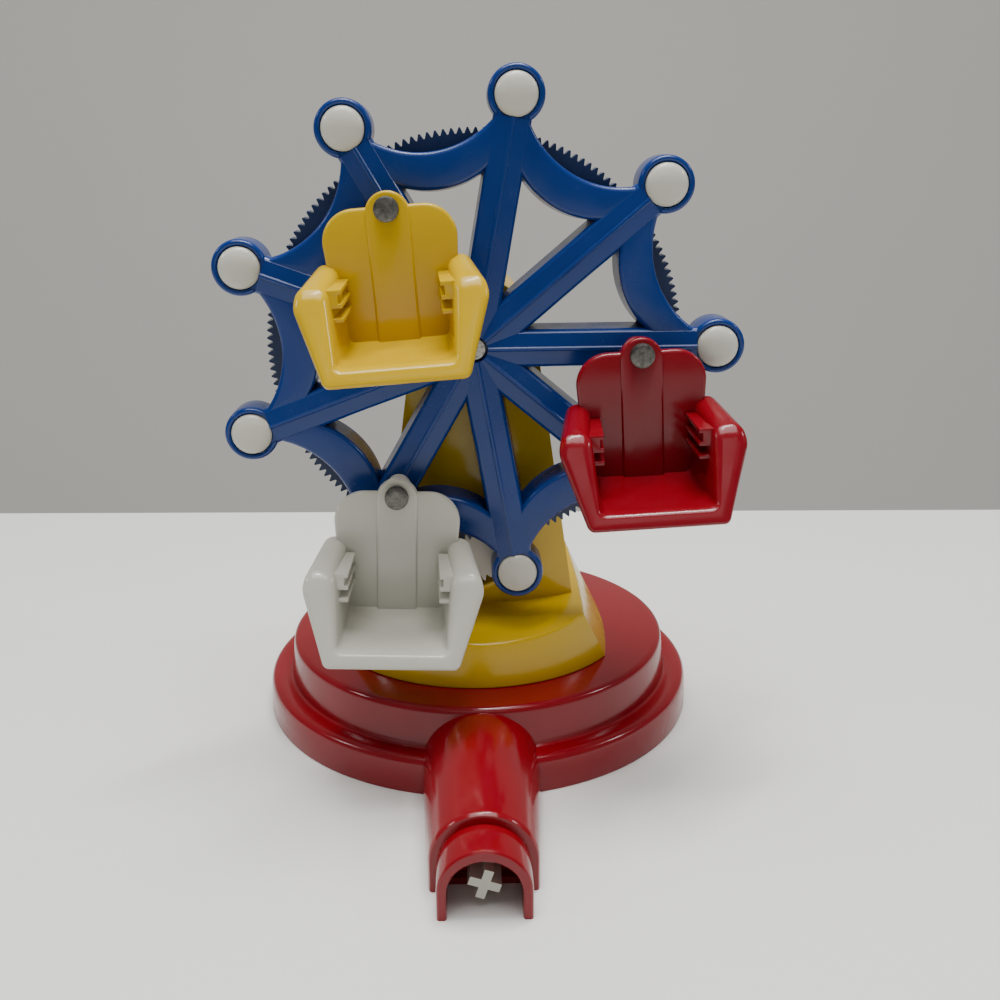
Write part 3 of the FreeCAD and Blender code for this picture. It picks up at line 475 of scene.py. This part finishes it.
class OBJECT_OT_wheel_toy_base(bpy.types.Operator):
    """Models the round two-step base with its drive tunnel and collar"""
    bl_idname = "object.wheel_toy_base"
    bl_label = "Base and drive tunnel"

    def execute(self, context):
        r = context.scene.wheel_toy_base.flange_radius / MM
        s = context.scene.wheel_toy_base.step_radius / MM
        rings = [(26.0, DECK_Z), (s - 2.6, DECK_Z), (s - 1.9, 20.1), (s - 1.35, 19.75), (s - 1.0, 19.2),
                 (s - 0.85, 18.4), (s - 0.1, 10.4), (s + 0.1, 9.7), (s + 0.6, 9.3), (s + 1.3, 9.35),
                 (s + 1.9, 9.6), (r - 2.2, 9.6), (r - 1.4, 9.5), (r - 0.75, 9.1), (r - 0.3, 8.4),
                 (r - 0.1, 7.4), (r + 0.18, 0.5), (r + 0.1, 0.12), (r - 0.2, 0.0), (r - 2.2, 0.0),
                 (r - 2.4, 7.4), (s - 2.2, 7.4), (s - 3.1, 18.0), (26.0, 18.0), (26.0, DECK_Z)]
        disc = lathe(rings, 192, filled=False, closed=True)
        body = self.tunnel([(-50.0, 15.0, 19.2), (-94.6, 12.0, 19.2), (-95.4, 11.85, 19.0), (-95.85, 11.6, 18.6),
                            (-96.0, 11.2, 18.0)],
                           [(-96.0, 9.8, 16.4), (-92.0, 9.8, 16.9), (-50.0, 12.6, 16.9)])
        collar = self.tunnel([(-93.0, 10.1, 16.7), (-104.3, 10.1, 16.7), (-104.9, 9.95, 16.5), (-105.2, 9.6, 16.1)],
                             [(-105.2, 8.4, 14.3), (-104.9, 8.05, 13.9), (-104.4, 7.9, 13.7), (-93.0, 7.9, 13.7)])
        base = joined([disc, body, collar])
        finish_piece(base, "base", "base", FINISHES["red"], ["base_shell"])
        return {"FINISHED"}

    def tunnel(self, outside, inside):
        """A half-round wall with straight legs: (y, half width, top) along the outside, then back along the inside."""
        free_hands()
        y0, h0, t0 = outside[0]
        bpy.ops.mesh.primitive_circle_add(
            vertices=64, radius=h0 * MM, location=mm(0, y0, t0 - h0), rotation=(math.pi / 2, 0, 0))
        apply_place()
        edit()
        middle = (t0 - h0) * MM
        pick(lambda v: v.co.z < middle - 1e-5)
        bpy.ops.mesh.delete(type="VERT")
        pick(lambda v: v.co.z < middle + 1e-5)
        grow(0, 0, -25.0)
        pick_all()
        y_now, h_now, t_now = y0, h0, t0
        for y, h, t in outside[1:] + inside + [outside[0]]:
            grow(0, y - y_now, t - t_now)
            k = h / h_now
            if abs(k - 1) > 1e-9:
                bpy.ops.transform.resize(value=(k, 1, k), center_override=mm(0, y, t))
            y_now, h_now, t_now = y, h, t
        pick_all()
        bpy.ops.mesh.remove_doubles(threshold=1e-6)
        pick_all()
        bpy.ops.mesh.bisect(plane_co=(0, 0, 0), plane_no=(0, 0, -1), use_fill=True, clear_outer=True)
        face_outwards()
        return done_editing()


# Wheel

class OBJECT_OT_wheel_toy_web(bpy.types.Operator):
    """Models the blue wheel: nine spokes, the scalloped rim band, the lobes and the hub"""
    bl_idname = "object.wheel_toy_web"
    bl_label = "Wheel"

    def execute(self, context):
        sizes = context.scene.wheel_toy_wheel
        lobe_r = sizes.lobe_circle / MM
        half = sizes.spoke_width / MM / 2
        sector = joined([self.spoke(half, lobe_r), self.lobe(lobe_r), self.band(half), self.gap_wall(half)])
        pieces = [sector] + [turned_copy(sector, STEP * k) for k in range(1, SPOKES)]
        hub = lathe([(HUB_BORE_R, 31.6), (6.2, 31.6), (6.2, 23.2), (5.9, 22.9), (2.4, 22.9), (2.1, 23.2),
                     (2.1, 31.6), (HUB_BORE_R, 31.6)], 48, filled=False, closed=True)
        pieces.append(face_front(hub))
        web = joined(pieces)
        moved(web, 0, 0, HUB_Z)
        finish_piece(web, "wheel", "wheel", FINISHES["blue"], ["wheel_web"])
        return {"FINISHED"}

    def spoke(self, half, lobe_r):
        section = [(-half, 0.0), (half, 0.0), (half, 3.7), (half - 0.25, 4.2), (half - 0.75, 4.62),
                   (0.55, 5.0), (0.38, 5.2), (0.25, 5.3), (-0.25, 5.3), (-0.38, 5.2), (-0.55, 5.0),
                   (-half + 0.75, 4.62), (-half + 0.25, 4.2), (-half, 3.7)]
        bar = thickened(section, "XZ", 0.0, dy=lobe_r - 5.0)
        # Lay it along +X with its relief towards the viewer
        take(bar)
        lay = Matrix(((0, 1, 0, 0), (0, 0, -1, -WEB_BACK * MM), (1, 0, 0, 0), (0, 0, 0, 1)))
        bar.matrix_world = lay
        apply_place()
        edit()
        face_outwards()
        done_editing()
        return boolean(bar, self.plug(HUB_BORE_R, 64))

    def plug(self, radius, sides):
        """A round plug on the wheel's axis, longer than the wheel is deep, to cut with."""
        free_hands()
        bpy.ops.mesh.primitive_cylinder_add(
            vertices=sides, radius=radius * MM, depth=0.03, location=mm(0, -32, 0), rotation=(math.pi / 2, 0, 0))
        apply_place()
        return bpy.context.object

    def lobe(self, lobe_r):
        """A round post with a rolled bead round its pocket. The bead stops where the spoke runs up to the cap."""
        rings = [(5.0, 30.8), (5.05, 25.9), (5.3, 25.4), (6.3, 25.4), (6.58, 25.65), (6.64, 26.1), (6.6, 33.3),
                 (6.55, 33.75), (6.42, 34.15), (6.2, 34.45), (5.85, 34.6), (5.5, 34.55), (5.25, 34.35),
                 (5.1, 34.0), (5.06, 33.5), (5.06, 32.9)]
        post = face_front(lathe(rings, 64), lobe_r)
        free_hands()
        bpy.ops.mesh.primitive_cube_add(size=1, location=mm(lobe_r - 6.0, -36.15, 0), scale=mm(8.0, 4.0, 7.6))
        apply_place()
        return boolean(post, bpy.context.object)

    def arc_at(self, centre, radius, lateral, steps=28):
        """Arc on the sector's middle line that bends towards the hub, from one spoke to the next."""
        mid = STEP / 2
        cx, cz = centre * math.cos(mid), centre * math.sin(mid)
        start = self.meet(centre, radius, lateral)
        a0 = math.atan2(start[1] - cz, start[0] - cx)
        back = math.atan2(-cz, -cx)
        sweep = (a0 - back + math.pi) % (2 * math.pi) - math.pi
        return arc_points(cx, cz, radius, back + sweep, back - sweep, steps)

    def band(self, half):
        """One sector: the strip between the outer scallop and the opening, with rounded front edges."""
        outer = self.arc_at(SCALLOP_CENTRE, SCALLOP_R, 3.8)
        inner = self.arc_at(GAP_CENTRE, GAP_R, half - 1.0)
        thickened(outer + inner[::-1], "XZ", -WEB_BACK, dy=WEB_BACK - WEB_FRONT)
        edit()
        front = -WEB_FRONT * MM

        def on_arc(e):
            a, b = (v.co for v in e.verts)
            short = (a - b).length < 2.4 * MM
            return short and abs(a.y - front) < 1e-5 and abs(b.y - front) < 1e-5

        pick(on_arc, "EDGE")
        bpy.ops.mesh.bevel(offset=1.0 * MM, segments=5, affect="EDGES", clamp_overlap=False)
        return done_editing()

    def gap_wall(self, half):
        """The wall that stands round one opening and reaches back inside the ring gear, with the mould's lean."""
        mid = STEP / 2

        def edge(lateral, radius):
            return [(lateral / math.tan(mid), lateral)] + self.arc_at(GAP_CENTRE, radius, lateral)

        wall = through([(-32.6, edge(half - 1.7, GAP_R - 1.7)), (-25.4, edge(half - 1.7, GAP_R - 1.7))])
        boolean(wall, self.plug(RING_BORE_R - 0.3, 180), "INTERSECT")
        hole = through([(-33.4, edge(half - 0.06, GAP_R - 0.06)), (-24.6, edge(half + 0.5, GAP_R + 0.5))])
        return boolean(wall, hole)

    def meet(self, centre, radius, lateral):
        """Point where a circle on the sector's middle line comes to a given distance from the spoke's axis."""
        mid = STEP / 2
        cx, cz = centre * math.cos(mid), centre * math.sin(mid)
        along = cx - math.sqrt(radius ** 2 - (cz - lateral) ** 2)
        return along, lateral


class OBJECT_OT_wheel_toy_ring(bpy.types.Operator):
    """Models the toothed ring behind the rim"""
    bl_idname = "object.wheel_toy_ring"
    bl_label = "Ring gear"

    def execute(self, context):
        teeth = context.scene.wheel_toy_wheel.ring_teeth
        free_hands()
        bpy.ops.mesh.primitive_circle_add(
            vertices=teeth * POINTS_PER_TOOTH, radius=RING_BORE_R * MM, location=mm(0, 0, WEB_BACK))
        ring = bpy.context.object
        apply_place()
        edit()
        pick_all()
        self.draw_out(RING_LIP_R / RING_BORE_R, 0, WEB_BACK)
        self.draw_out(1, RING_TOP - WEB_BACK, RING_TOP)
        self.draw_out(TOOTH_ROOT_R / RING_LIP_R, 0, RING_TOP)
        # Push the teeth out of the root circle, run them down the ring, and bring the underside in to the bore.
        self.scale_teeth(teeth, RING_TOP, ((TIP_POINTS, TOOTH_TIP_R / TOOTH_ROOT_R),
                                           (FLANK_POINTS, TOOTH_MIDDLE_R / TOOTH_ROOT_R)))
        bpy.ops.mesh.select_all(action="DESELECT")
        top = RING_TOP * MM
        pick(lambda v: abs(v.co.z - top) < 1e-6 and v.co.xy.length > 48 * MM)
        grow(0, 0, RING_BOTTOM - RING_TOP)
        bottom = RING_BOTTOM * MM
        pick(lambda v: abs(v.co.z - bottom) < 1e-6)
        grow(0, 0, 0)
        self.scale_teeth(teeth, RING_BOTTOM, ((TIP_POINTS, RING_BORE_R / TOOTH_TIP_R),
                                              (FLANK_POINTS, RING_BORE_R / TOOTH_MIDDLE_R),
                                              (ROOT_POINTS, RING_BORE_R / TOOTH_ROOT_R)))
        pick_all()
        bpy.ops.mesh.remove_doubles(threshold=1e-6)
        pick(lambda e: e.is_boundary, "EDGE")
        bpy.ops.mesh.bridge_edge_loops()
        face_outwards()
        done_editing()
        face_front(ring)
        self.phase(ring, teeth)
        moved(ring, 0, 0, HUB_Z)
        # The ring takes the darker blue, which is painted shade on the wheel's own blue moulding.
        finish_piece(ring, "ring_gear_teeth", "wheel", FINISHES["dark_blue"], ["ring_gear"], 25)
        return {"FINISHED"}

    def draw_out(self, k, dz, z):
        """Extrudes the loop in hand along Z and scales it about the axis."""
        grow(0, 0, dz)
        bpy.ops.transform.resize(value=(k, k, 1), center_override=mm(0, 0, z))

    def scale_teeth(self, teeth, z, moves):
        """Scales each of the named points of every tooth, among those in hand, about the axis."""
        bm = bmesh.from_edit_mesh(bpy.context.object.data)
        chosen = set(v.index for v in bm.verts if v.select)
        around = teeth * POINTS_PER_TOOTH

        def point_of(co):
            return round(math.atan2(co.x, co.y) / (2 * math.pi) * around) % POINTS_PER_TOOTH

        for wanted, k in moves:
            pick(lambda v: v.index in chosen and point_of(v.co) in wanted)
            bpy.ops.transform.resize(value=(k, k, 1), center_override=mm(0, 0, z))

    def phase(self, ring, teeth):
        """Turns the ring so that a tooth points straight down, into the pinion."""
        take(ring)
        pitch = 2 * math.pi / teeth
        # The middle of a tip is half a step past a tip vertex, which starts straight up.
        tip_at = math.pi / 2 - 0.5 * pitch / POINTS_PER_TOOTH
        shift = (-math.pi / 2 - tip_at) % pitch
        ring.matrix_world = Matrix.Rotation(-shift, 4, "Y")
        apply_place()


class OBJECT_OT_wheel_toy_caps(bpy.types.Operator):
    """Models the nine white domed caps in the lobes"""
    bl_idname = "object.wheel_toy_caps"
    bl_label = "Rim caps"

    def execute(self, context):
        lobe_r = context.scene.wheel_toy_wheel.lobe_circle / MM
        dome = [(4.85, 33.0), (4.95, 33.15), (CAP_R, CAP_EDGE)]
        steps = 10
        for i in range(1, steps + 1):
            t = i / steps * math.pi / 2
            # The factor keeps the last ring open by a hair, so that no edge has zero length.
            dome.append((CAP_R * math.cos(t * 0.985), CAP_EDGE + CAP_RISE * math.sin(t)))
        first = face_front(lathe(dome, 48), lobe_r)
        for k in range(SPOKES):
            cap = turned_copy(first, STEP * k)
            moved(cap, 0, 0, HUB_Z)
            finish_piece(cap, "cap_%d" % (k + 1), "wheel", FINISHES["white"],
                         ["rim_cap_%d" % (k + 1)], 50)
        bpy.data.objects.remove(first, do_unlink=True)
        return {"FINISHED"}


# Tower

class OBJECT_OT_wheel_toy_tower(bpy.types.Operator):
    """Models the two halves of the yellow tower with its foot and the pinion cup"""
    bl_idname = "object.wheel_toy_tower"
    bl_label = "Tower and foot"

    def execute(self, context):
        # From the front: straight sides that lean in to a round top, centred on the hub
        top_r, half = 15.6, 28.2
        rise = HUB_Z - DECK_Z
        turn = math.atan2(rise, half) - math.acos(top_r / math.hypot(half, rise))
        round_top = arc_points(0, HUB_Z, top_r, -turn, math.pi + turn, 40)
        column = thickened([(-half, DECK_Z), (half, DECK_Z)] + round_top, "XZ", -40, dy=80)
        # From above: two bowed faces, front and rear, that meet at the sides
        reach, bow = 31.2, 9.5
        bow_r = (reach ** 2 + bow ** 2) / (2 * bow)
        spread = math.asin(reach / bow_r)
        front_bow = arc_points(0, -21 + bow_r, bow_r, -math.pi / 2 - spread, -math.pi / 2 + spread, 30)
        rear_bow = [(-x, -y) for x, y in front_bow]
        plan = thickened(front_bow + rear_bow, "XY", 10, dz=130)
        boolean(column, plan, "INTERSECT")
        soften(column, 2.0, 5, 50)
        tower = joined([column, self.foot(), self.cup()])
        finish_piece(tower, "tower", "base", FINISHES["yellow"], ["tower_front", "tower_rear"], 20)
        return {"FINISHED"}

    def foot_ring(self, radius, side, corner_y):
        """The foot's outline at one height: round front and back, and flatter sides that bulge out to a reach."""
        corner_x = math.sqrt(radius ** 2 - corner_y ** 2)
        a = math.atan2(corner_y, corner_x)
        front = arc_points(0, 0, radius, -math.pi + a, -a, 24)
        h = side - corner_x
        side_r = (corner_y ** 2 + h ** 2) / (2 * h)
        b = math.asin(corner_y / side_r)
        right = arc_points(side - side_r, 0, side_r, -b, b, 16)
        points = front + right[1:-1]
        return points + [(-x, -y) for x, y in points]

    def foot(self):
        low = outline(self.foot_ring(42.4, 36.6, 24.6), "XY", DECK_Z)
        high = outline(self.foot_ring(40.6, 28.4, 29.6), "XY", LEDGE_Z)
        joined([low, high])
        edit()
        pick(lambda e: e.is_boundary, "EDGE")
        bpy.ops.mesh.bridge_edge_loops()
        for sign in (-1, 1):
            pick_all()
            normal = Vector((0, sign * 3.0, 10.6)).normalized()
            bpy.ops.mesh.bisect(plane_co=mm(0, sign * 30.0, LEDGE_Z), plane_no=normal, use_fill=True, clear_outer=True)
        face_outwards()
        # The ledge in front of the column ends in a crisp straight edge.
        high_enough = (LEDGE_Z - 0.1) * MM
        pick(lambda e: all(abs(abs(v.co.y) - 30 * MM) < 1e-5 and v.co.z > high_enough for v in e.verts), "EDGE")
        bpy.ops.mesh.mark_sharp()
        return soften(done_editing(), 0.6, 4, 40)

    def cup(self):
        rings = [(7.8, 19.0), (7.8, 24.7), (8.0, 25.0), (8.4, 25.1), (8.9, 25.1), (9.3, 24.9), (9.4, 24.5),
                 (9.4, 19.0), (7.8, 19.0)]
        face_front(lathe(rings, 64, filled=False, closed=True), 0, 0, PINION_Z)
        edit()
        pick_all()
        bpy.ops.mesh.bisect(plane_co=mm(0, 0, PINION_Z + 1.0), plane_no=(0, 0, 1), use_fill=True, clear_outer=True)
        return done_editing()


# Seats

class OBJECT_OT_wheel_toy_seats(bpy.types.Operator):
    """Models one bucket seat with its clips, and hangs three of them on the wheel"""
    bl_idname = "object.wheel_toy_seats"
    bl_label = "Seats"

    def execute(self, context):
        sizes = context.scene.wheel_toy_seat
        bucket = self.bucket(sizes.depth / MM, sizes.arm_width / MM / WIDEST_SEAT)
        back = self.backrest()
        clips = [self.clip(1), self.clip(-1)]
        boss = face_front(lathe([(2.9, 35.15), (2.9, 42.5)], 32))
        first = joined([bucket, back, boss] + clips)
        finishes = {"yellow": "yellow", "white": "white", "red": "seat_red"}
        for name, angle, tilt in SEATS:
            seat = turned_copy(first, math.radians(tilt))
            a = math.radians(angle)
            moved(seat, PIVOT_R * math.cos(a), 0, HUB_Z + PIVOT_R * math.sin(a))
            finish_piece(seat, "bucket_seat_" + name, "seat_" + name, FINISHES[finishes[name]],
                         ["seat_" + name], 38)
        bpy.data.objects.remove(first, do_unlink=True)
        return {"FINISHED"}

    def section(self, u, pan_z, inset=0.0):
        """Cross-section from the rear (u = 0) to the front (u = 1): the bottom, two fat arms and the pan.
        The inset draws the outline in, fully at the arms' tops and less towards the bottom."""
        def at(rear, front):
            return rear + (front - rear) * u

        # Half outline from the bottom's middle, round the arm, to the pan's middle: x, z, radius, share of the inset
        corners = [
            (0.0, SEAT_BOTTOM_Z, 0.0, 0.45), (at(14.8, 15.7), SEAT_BOTTOM_Z, 1.9, 0.45),
            (at(18.3, 21.5), at(-15.0, -18.9), 4.5, 0.9), (at(17.6, 20.4), at(-10.9, -14.6), 2.8, 0.95),
            (at(12.2, 13.8), at(-11.3, -15.0), 2.8, 0.95), (at(11.3, 12.7), pan_z, 1.3, 0.4), (0.0, pan_z, 0.0, 0.4),
        ]
        last = len(corners) - 1
        drawn = []
        for i, (x, z, radius, share) in enumerate(corners):
            d = inset * share
            before = Vector((x, z)) - Vector(corners[i - 1][:2]) if i else Vector((1, 0))
            after = Vector(corners[i + 1][:2]) - Vector((x, z)) if i < last else Vector((-1, 0))
            n1 = Vector((-before.y, before.x)).normalized()
            n2 = Vector((-after.y, after.x)).normalized()
            p = Vector((x, z)) + (n1 + n2) * d / (1 + n1.dot(n2))
            turns_in = before.x * after.y - before.y * after.x < 0
            drawn_radius = radius + d if turns_in else max(radius - d, 0.2)
            drawn.append((p.x, p.y, drawn_radius if radius else 0.0))
        half = rounded(drawn)
        return half + [(-x, z) for x, z in reversed(half[1:-1])]

    def bucket(self, depth, widen):
        """The seat's tub with its two arms, rounded towards the viewer."""
        stations = [(-SEAT_REAR_Y - depth * u, self.section(u, pan_z))
                    for u, pan_z in ((0.0, -28.2), (0.18, -30.2), (0.45, -30.6), (0.72, -30.9))]
        # The outline draws in as it comes forward, along a quarter circle.
        steps = 7
        for i in range(steps + 1):
            a = math.pi / 2 * i / steps
            y = -SEAT_REAR_Y - depth + SEAT_FRONT_ROUND * (1 - math.sin(a))
            inset = SEAT_FRONT_ROUND * (1 - math.cos(a))
            stations.append((y, self.section((-SEAT_REAR_Y - y) / depth, -31.1, inset)))
        bucket = through(stations)
        # The arms' fronts slope back towards their tops.
        for v in bucket.data.vertices:
            u = (-SEAT_REAR_Y * MM - v.co.y) / (depth * MM)
            v.co.y += u * ARM_FRONT_SLOPE * (v.co.z - SEAT_BOTTOM_Z * MM)
            v.co.x *= widen
        return bucket

    def panel(self, points, front, rear, edge):
        """A flat panel with its front edges rounded: front and rear are its faces' places along Y."""
        thickened(points, "XZ", rear, dy=front - rear)
        edit()
        level = front * MM
        pick(lambda e: all(abs(v.co.y - level) < 1e-6 for v in e.verts), "EDGE")
        bpy.ops.mesh.bevel(offset=edge * MM, segments=3, affect="EDGES", clamp_overlap=False)
        return done_editing()

    def backrest(self):
        """A raised centre panel with a round top, on a panel with round shoulders, and the plate behind them."""
        shoulder = arc_points(7.8, -6.75, 7.4, 0, math.pi / 2, 14)
        sides = [(-13.6, -30.0), (13.6, -30.0)] + shoulder + [(-x, z) for x, z in reversed(shoulder)]
        centre = [(-4.95, -30.0), (4.95, -30.0)] + arc_points(0, -1.0, 4.95, 0, math.pi, 18)
        shoulder = arc_points(7.6, -6.95, 7.4, 0, math.pi / 2, 14)
        plate = [(-13.3, -32.0), (13.3, -32.0)] + shoulder + arc_points(0, -1.2, 5.1, 0.25, math.pi - 0.25, 16)
        plate += [(-x, z) for x, z in reversed(shoulder)]
        return joined([
            self.panel(sides, -44.0, -42.2, 0.8),
            self.panel(centre, -44.6, -42.2, 0.55),
            self.panel(plate, -43.0, -41.9, 0.3),
        ])

    def clip(self, side):
        """An E-shaped clip inside an arm: three fins that run along it, the upper two joined by a wall."""
        fins = [(14.6, 0.0), (10.7, 0.0), (10.7, -0.95), (11.6, -0.95), (11.6, -3.0), (10.7, -3.0), (10.7, -3.95),
                (13.9, -3.95), (13.9, -6.05), (10.7, -6.05), (10.7, -7.0), (14.6, -7.0)]
        front = [(side * x, -15.4 + z) for x, z in fins]
        rear = [(side * (x - 0.7), -14.3 + z) for x, z in fins]
        return soften(through([(-56.8, front), (-44.6, rear)]), 0.16, 2, 40)


class OBJECT_OT_wheel_toy_rivets(bpy.types.Operator):
    """Models the steel rivets that the seats hang on"""
    bl_idname = "object.wheel_toy_rivets"
    bl_label = "Seat rivets"

    def execute(self, context):
        rings = [(2.3, 28.75), (2.3, 29.55), (1.25, 29.58), (1.25, 44.9), (2.8, 45.0), (2.85, 45.1), (2.85, 46.3),
                 (2.75, 46.65), (2.5, 46.8), (1.6, 46.83), (0.6, 46.84)]
        first = face_front(lathe(rings, 40))
        for name, angle, _ in SEATS:
            a = math.radians(angle)
            rivet = turned_copy(first, 0.0)
            moved(rivet, PIVOT_R * math.cos(a), 0, HUB_Z + PIVOT_R * math.sin(a))
            finish_piece(rivet, "rivet_head_" + name, "rivet_" + name, FINISHES["steel"],
                         ["seat_rivet_" + name], 40)
        bpy.data.objects.remove(first, do_unlink=True)
        return {"FINISHED"}


# Drive

class OBJECT_OT_wheel_toy_drive(bpy.types.Operator):
    """Gives the shafts, gears, screws and the cover inside the toy their finishes"""
    bl_idname = "object.wheel_toy_drive"
    bl_label = "Drive parts"

    def execute(self, context):
        slots = {"white": ["wheel_pinion", "transfer_gear", "idler_gear", "drive_shaft"],
                 "red": ["bottom_cover"],
                 "steel": ["cover_screws", "foot_screws", "tower_screws"],
                 "bright_steel": ["wheel_axle", "axle_washer", "idler_pin"]}
        for finish, nodes in slots.items():
            for node in nodes:
                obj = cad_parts[node]
                if obj.material_slots:
                    for place in obj.material_slots:
                        place.material = FINISHES[finish]
                else:
                    obj.data.materials.append(FINISHES[finish])
        return {"FINISHED"}


# Studio

class OBJECT_OT_wheel_toy_stage(bpy.types.Operator):
    """Adds the floor, the wall, the lights and the camera"""
    bl_idname = "object.wheel_toy_stage"
    bl_label = "Studio"

    def execute(self, context):
        free_hands()
        # The table ends close behind the toy, as in the photograph, and the wall stands well back, so that
        # neither hides the toy from behind.
        bpy.ops.mesh.primitive_plane_add(size=4.0, location=(-0.080, -1.834, 0), rotation=(0, 0, -0.040))
        floor = bpy.context.object
        apply_place()
        floor.name = "floor"
        floor.data.materials.append(matt_paint("Pale laminate top", "#EDEDE8", "#E7E7E2", 7.0, 0.42))
        free_hands()
        bpy.ops.mesh.primitive_plane_add(size=6.0, location=(0, 1.5, 0), rotation=(math.pi / 2, 0, 0))
        wall = bpy.context.object
        apply_place()
        wall.name = "wall"
        paint = matt_paint("Grey matt wall paint", "#B9B7B1", "#B1AFA9", 3.0, 0.8)
        # A little light of its own stands for the daylight that falls on the real wall.
        shader = next(n for n in paint.node_tree.nodes if n.type == "BSDF_PRINCIPLED")
        shader.inputs["Emission Color"].default_value = linear("#F4F1E8")
        shader.inputs["Emission Strength"].default_value = 0.26
        wall.data.materials.append(paint)
        self.light("ceiling", (0.0, -0.15, 1.1), (0, -0.05, 0.05), 0.9, 0.9, 14.0)
        self.light("strip", (0.03, -0.02, 0.95), (0, -0.05, 0.08), 0.05, 0.5, 5.0)
        self.light("left", (-0.85, -0.15, 0.62), (0, 0, 0.06), 0.14, 0.14, 1.1)
        self.light("right", (0.85, -0.15, 0.62), (0, 0, 0.06), 0.14, 0.14, 1.1)
        self.light("front", (0.0, -1.1, 0.75), (0, 0, 0.08), 0.7, 0.3, 0.7)
        world = bpy.data.worlds.new("studio")
        bpy.context.scene.world = world
        world.use_nodes = True
        world.node_tree.nodes["Background"].inputs["Color"].default_value = linear("#E8EAEE")
        world.node_tree.nodes["Background"].inputs["Strength"].default_value = 0.22
        self.camera()
        return {"FINISHED"}

    def light(self, name, place, target, width, length, power):
        data = bpy.data.lights.new(name, "AREA")
        data.shape = "RECTANGLE"
        data.size = width
        data.size_y = length
        data.energy = power
        lamp = bpy.data.objects.new(name, data)
        bpy.context.collection.objects.link(lamp)
        lamp.location = place
        lamp.rotation_euler = (Vector(target) - Vector(place)).to_track_quat("-Z", "Y").to_euler()

    def camera(self):
        """Camera of a phone about 0.3 m away, with the place and lens that fit the photograph's edges."""
        data = bpy.data.cameras.new("phone")
        cam = bpy.data.objects.new("phone", data)
        bpy.context.collection.objects.link(cam)
        pitch, yaw, roll = (math.radians(a) for a in (17.44, -0.728, -0.698))
        right = Vector((math.cos(yaw), math.sin(yaw), 0))
        ahead = Vector((-math.sin(yaw) * math.cos(pitch), math.cos(yaw) * math.cos(pitch), -math.sin(pitch)))
        up = right.cross(ahead)
        across = right * math.cos(roll) + up * math.sin(roll)
        upward = up * math.cos(roll) - right * math.sin(roll)
        turn = Matrix((across, upward, -ahead)).transposed().to_4x4()
        cam.matrix_world = Matrix.Translation(mm(-2.04, -291.34, 149.93)) @ turn
        data.sensor_width = 36.0
        data.lens = 36.0 * 1079.7 / 1000
        data.shift_x = (500 - 481.7) / 1000
        data.shift_y = (497.1 - 500) / 1000
        bpy.context.scene.camera = cam


class VIEW3D_PT_wheel_toy(bpy.types.Panel):
    """Lists the sizes and the pieces"""
    bl_idname = "VIEW3D_PT_wheel_toy"
    bl_label = "Ferris wheel toy"
    bl_space_type = "VIEW_3D"
    bl_region_type = "UI"
    bl_category = "Ferris Wheel"

    def draw(self, context):
        column = self.layout.column()
        for group in ("wheel_toy_base", "wheel_toy_wheel", "wheel_toy_seat", "wheel_toy_colours"):
            sizes = getattr(context.scene, group)
            for name in sizes.__annotations__:
                column.prop(sizes, name)
        for operator in OPERATORS:
            column.operator(operator.bl_idname)


OPERATORS = (
    OBJECT_OT_wheel_toy_base,
    OBJECT_OT_wheel_toy_web,
    OBJECT_OT_wheel_toy_ring,
    OBJECT_OT_wheel_toy_caps,
    OBJECT_OT_wheel_toy_tower,
    OBJECT_OT_wheel_toy_seats,
    OBJECT_OT_wheel_toy_rivets,
    OBJECT_OT_wheel_toy_drive,
    OBJECT_OT_wheel_toy_stage,
)
GROUPS = (BaseSizes, WheelSizes, SeatSizes, Colours)
CLASSES = GROUPS + OPERATORS + (VIEW3D_PT_wheel_toy,)


def register():
    for cls in CLASSES:
        bpy.utils.register_class(cls)
    bpy.types.Scene.wheel_toy_base = bpy.props.PointerProperty(type=BaseSizes)
    bpy.types.Scene.wheel_toy_wheel = bpy.props.PointerProperty(type=WheelSizes)
    bpy.types.Scene.wheel_toy_seat = bpy.props.PointerProperty(type=SeatSizes)
    bpy.types.Scene.wheel_toy_colours = bpy.props.PointerProperty(type=Colours)


def unregister():
    del bpy.types.Scene.wheel_toy_colours
    del bpy.types.Scene.wheel_toy_seat
    del bpy.types.Scene.wheel_toy_wheel
    del bpy.types.Scene.wheel_toy_base
    for cls in reversed(CLASSES):
        bpy.utils.unregister_class(cls)


def main():
    register()
    prepare_finishes()
    bpy.ops.object.wheel_toy_base()
    bpy.ops.object.wheel_toy_web()
    bpy.ops.object.wheel_toy_ring()
    bpy.ops.object.wheel_toy_caps()
    bpy.ops.object.wheel_toy_tower()
    bpy.ops.object.wheel_toy_seats()
    bpy.ops.object.wheel_toy_rivets()
    bpy.ops.object.wheel_toy_drive()
    bpy.ops.object.wheel_toy_stage()


if __name__ == "__main__":
    main()
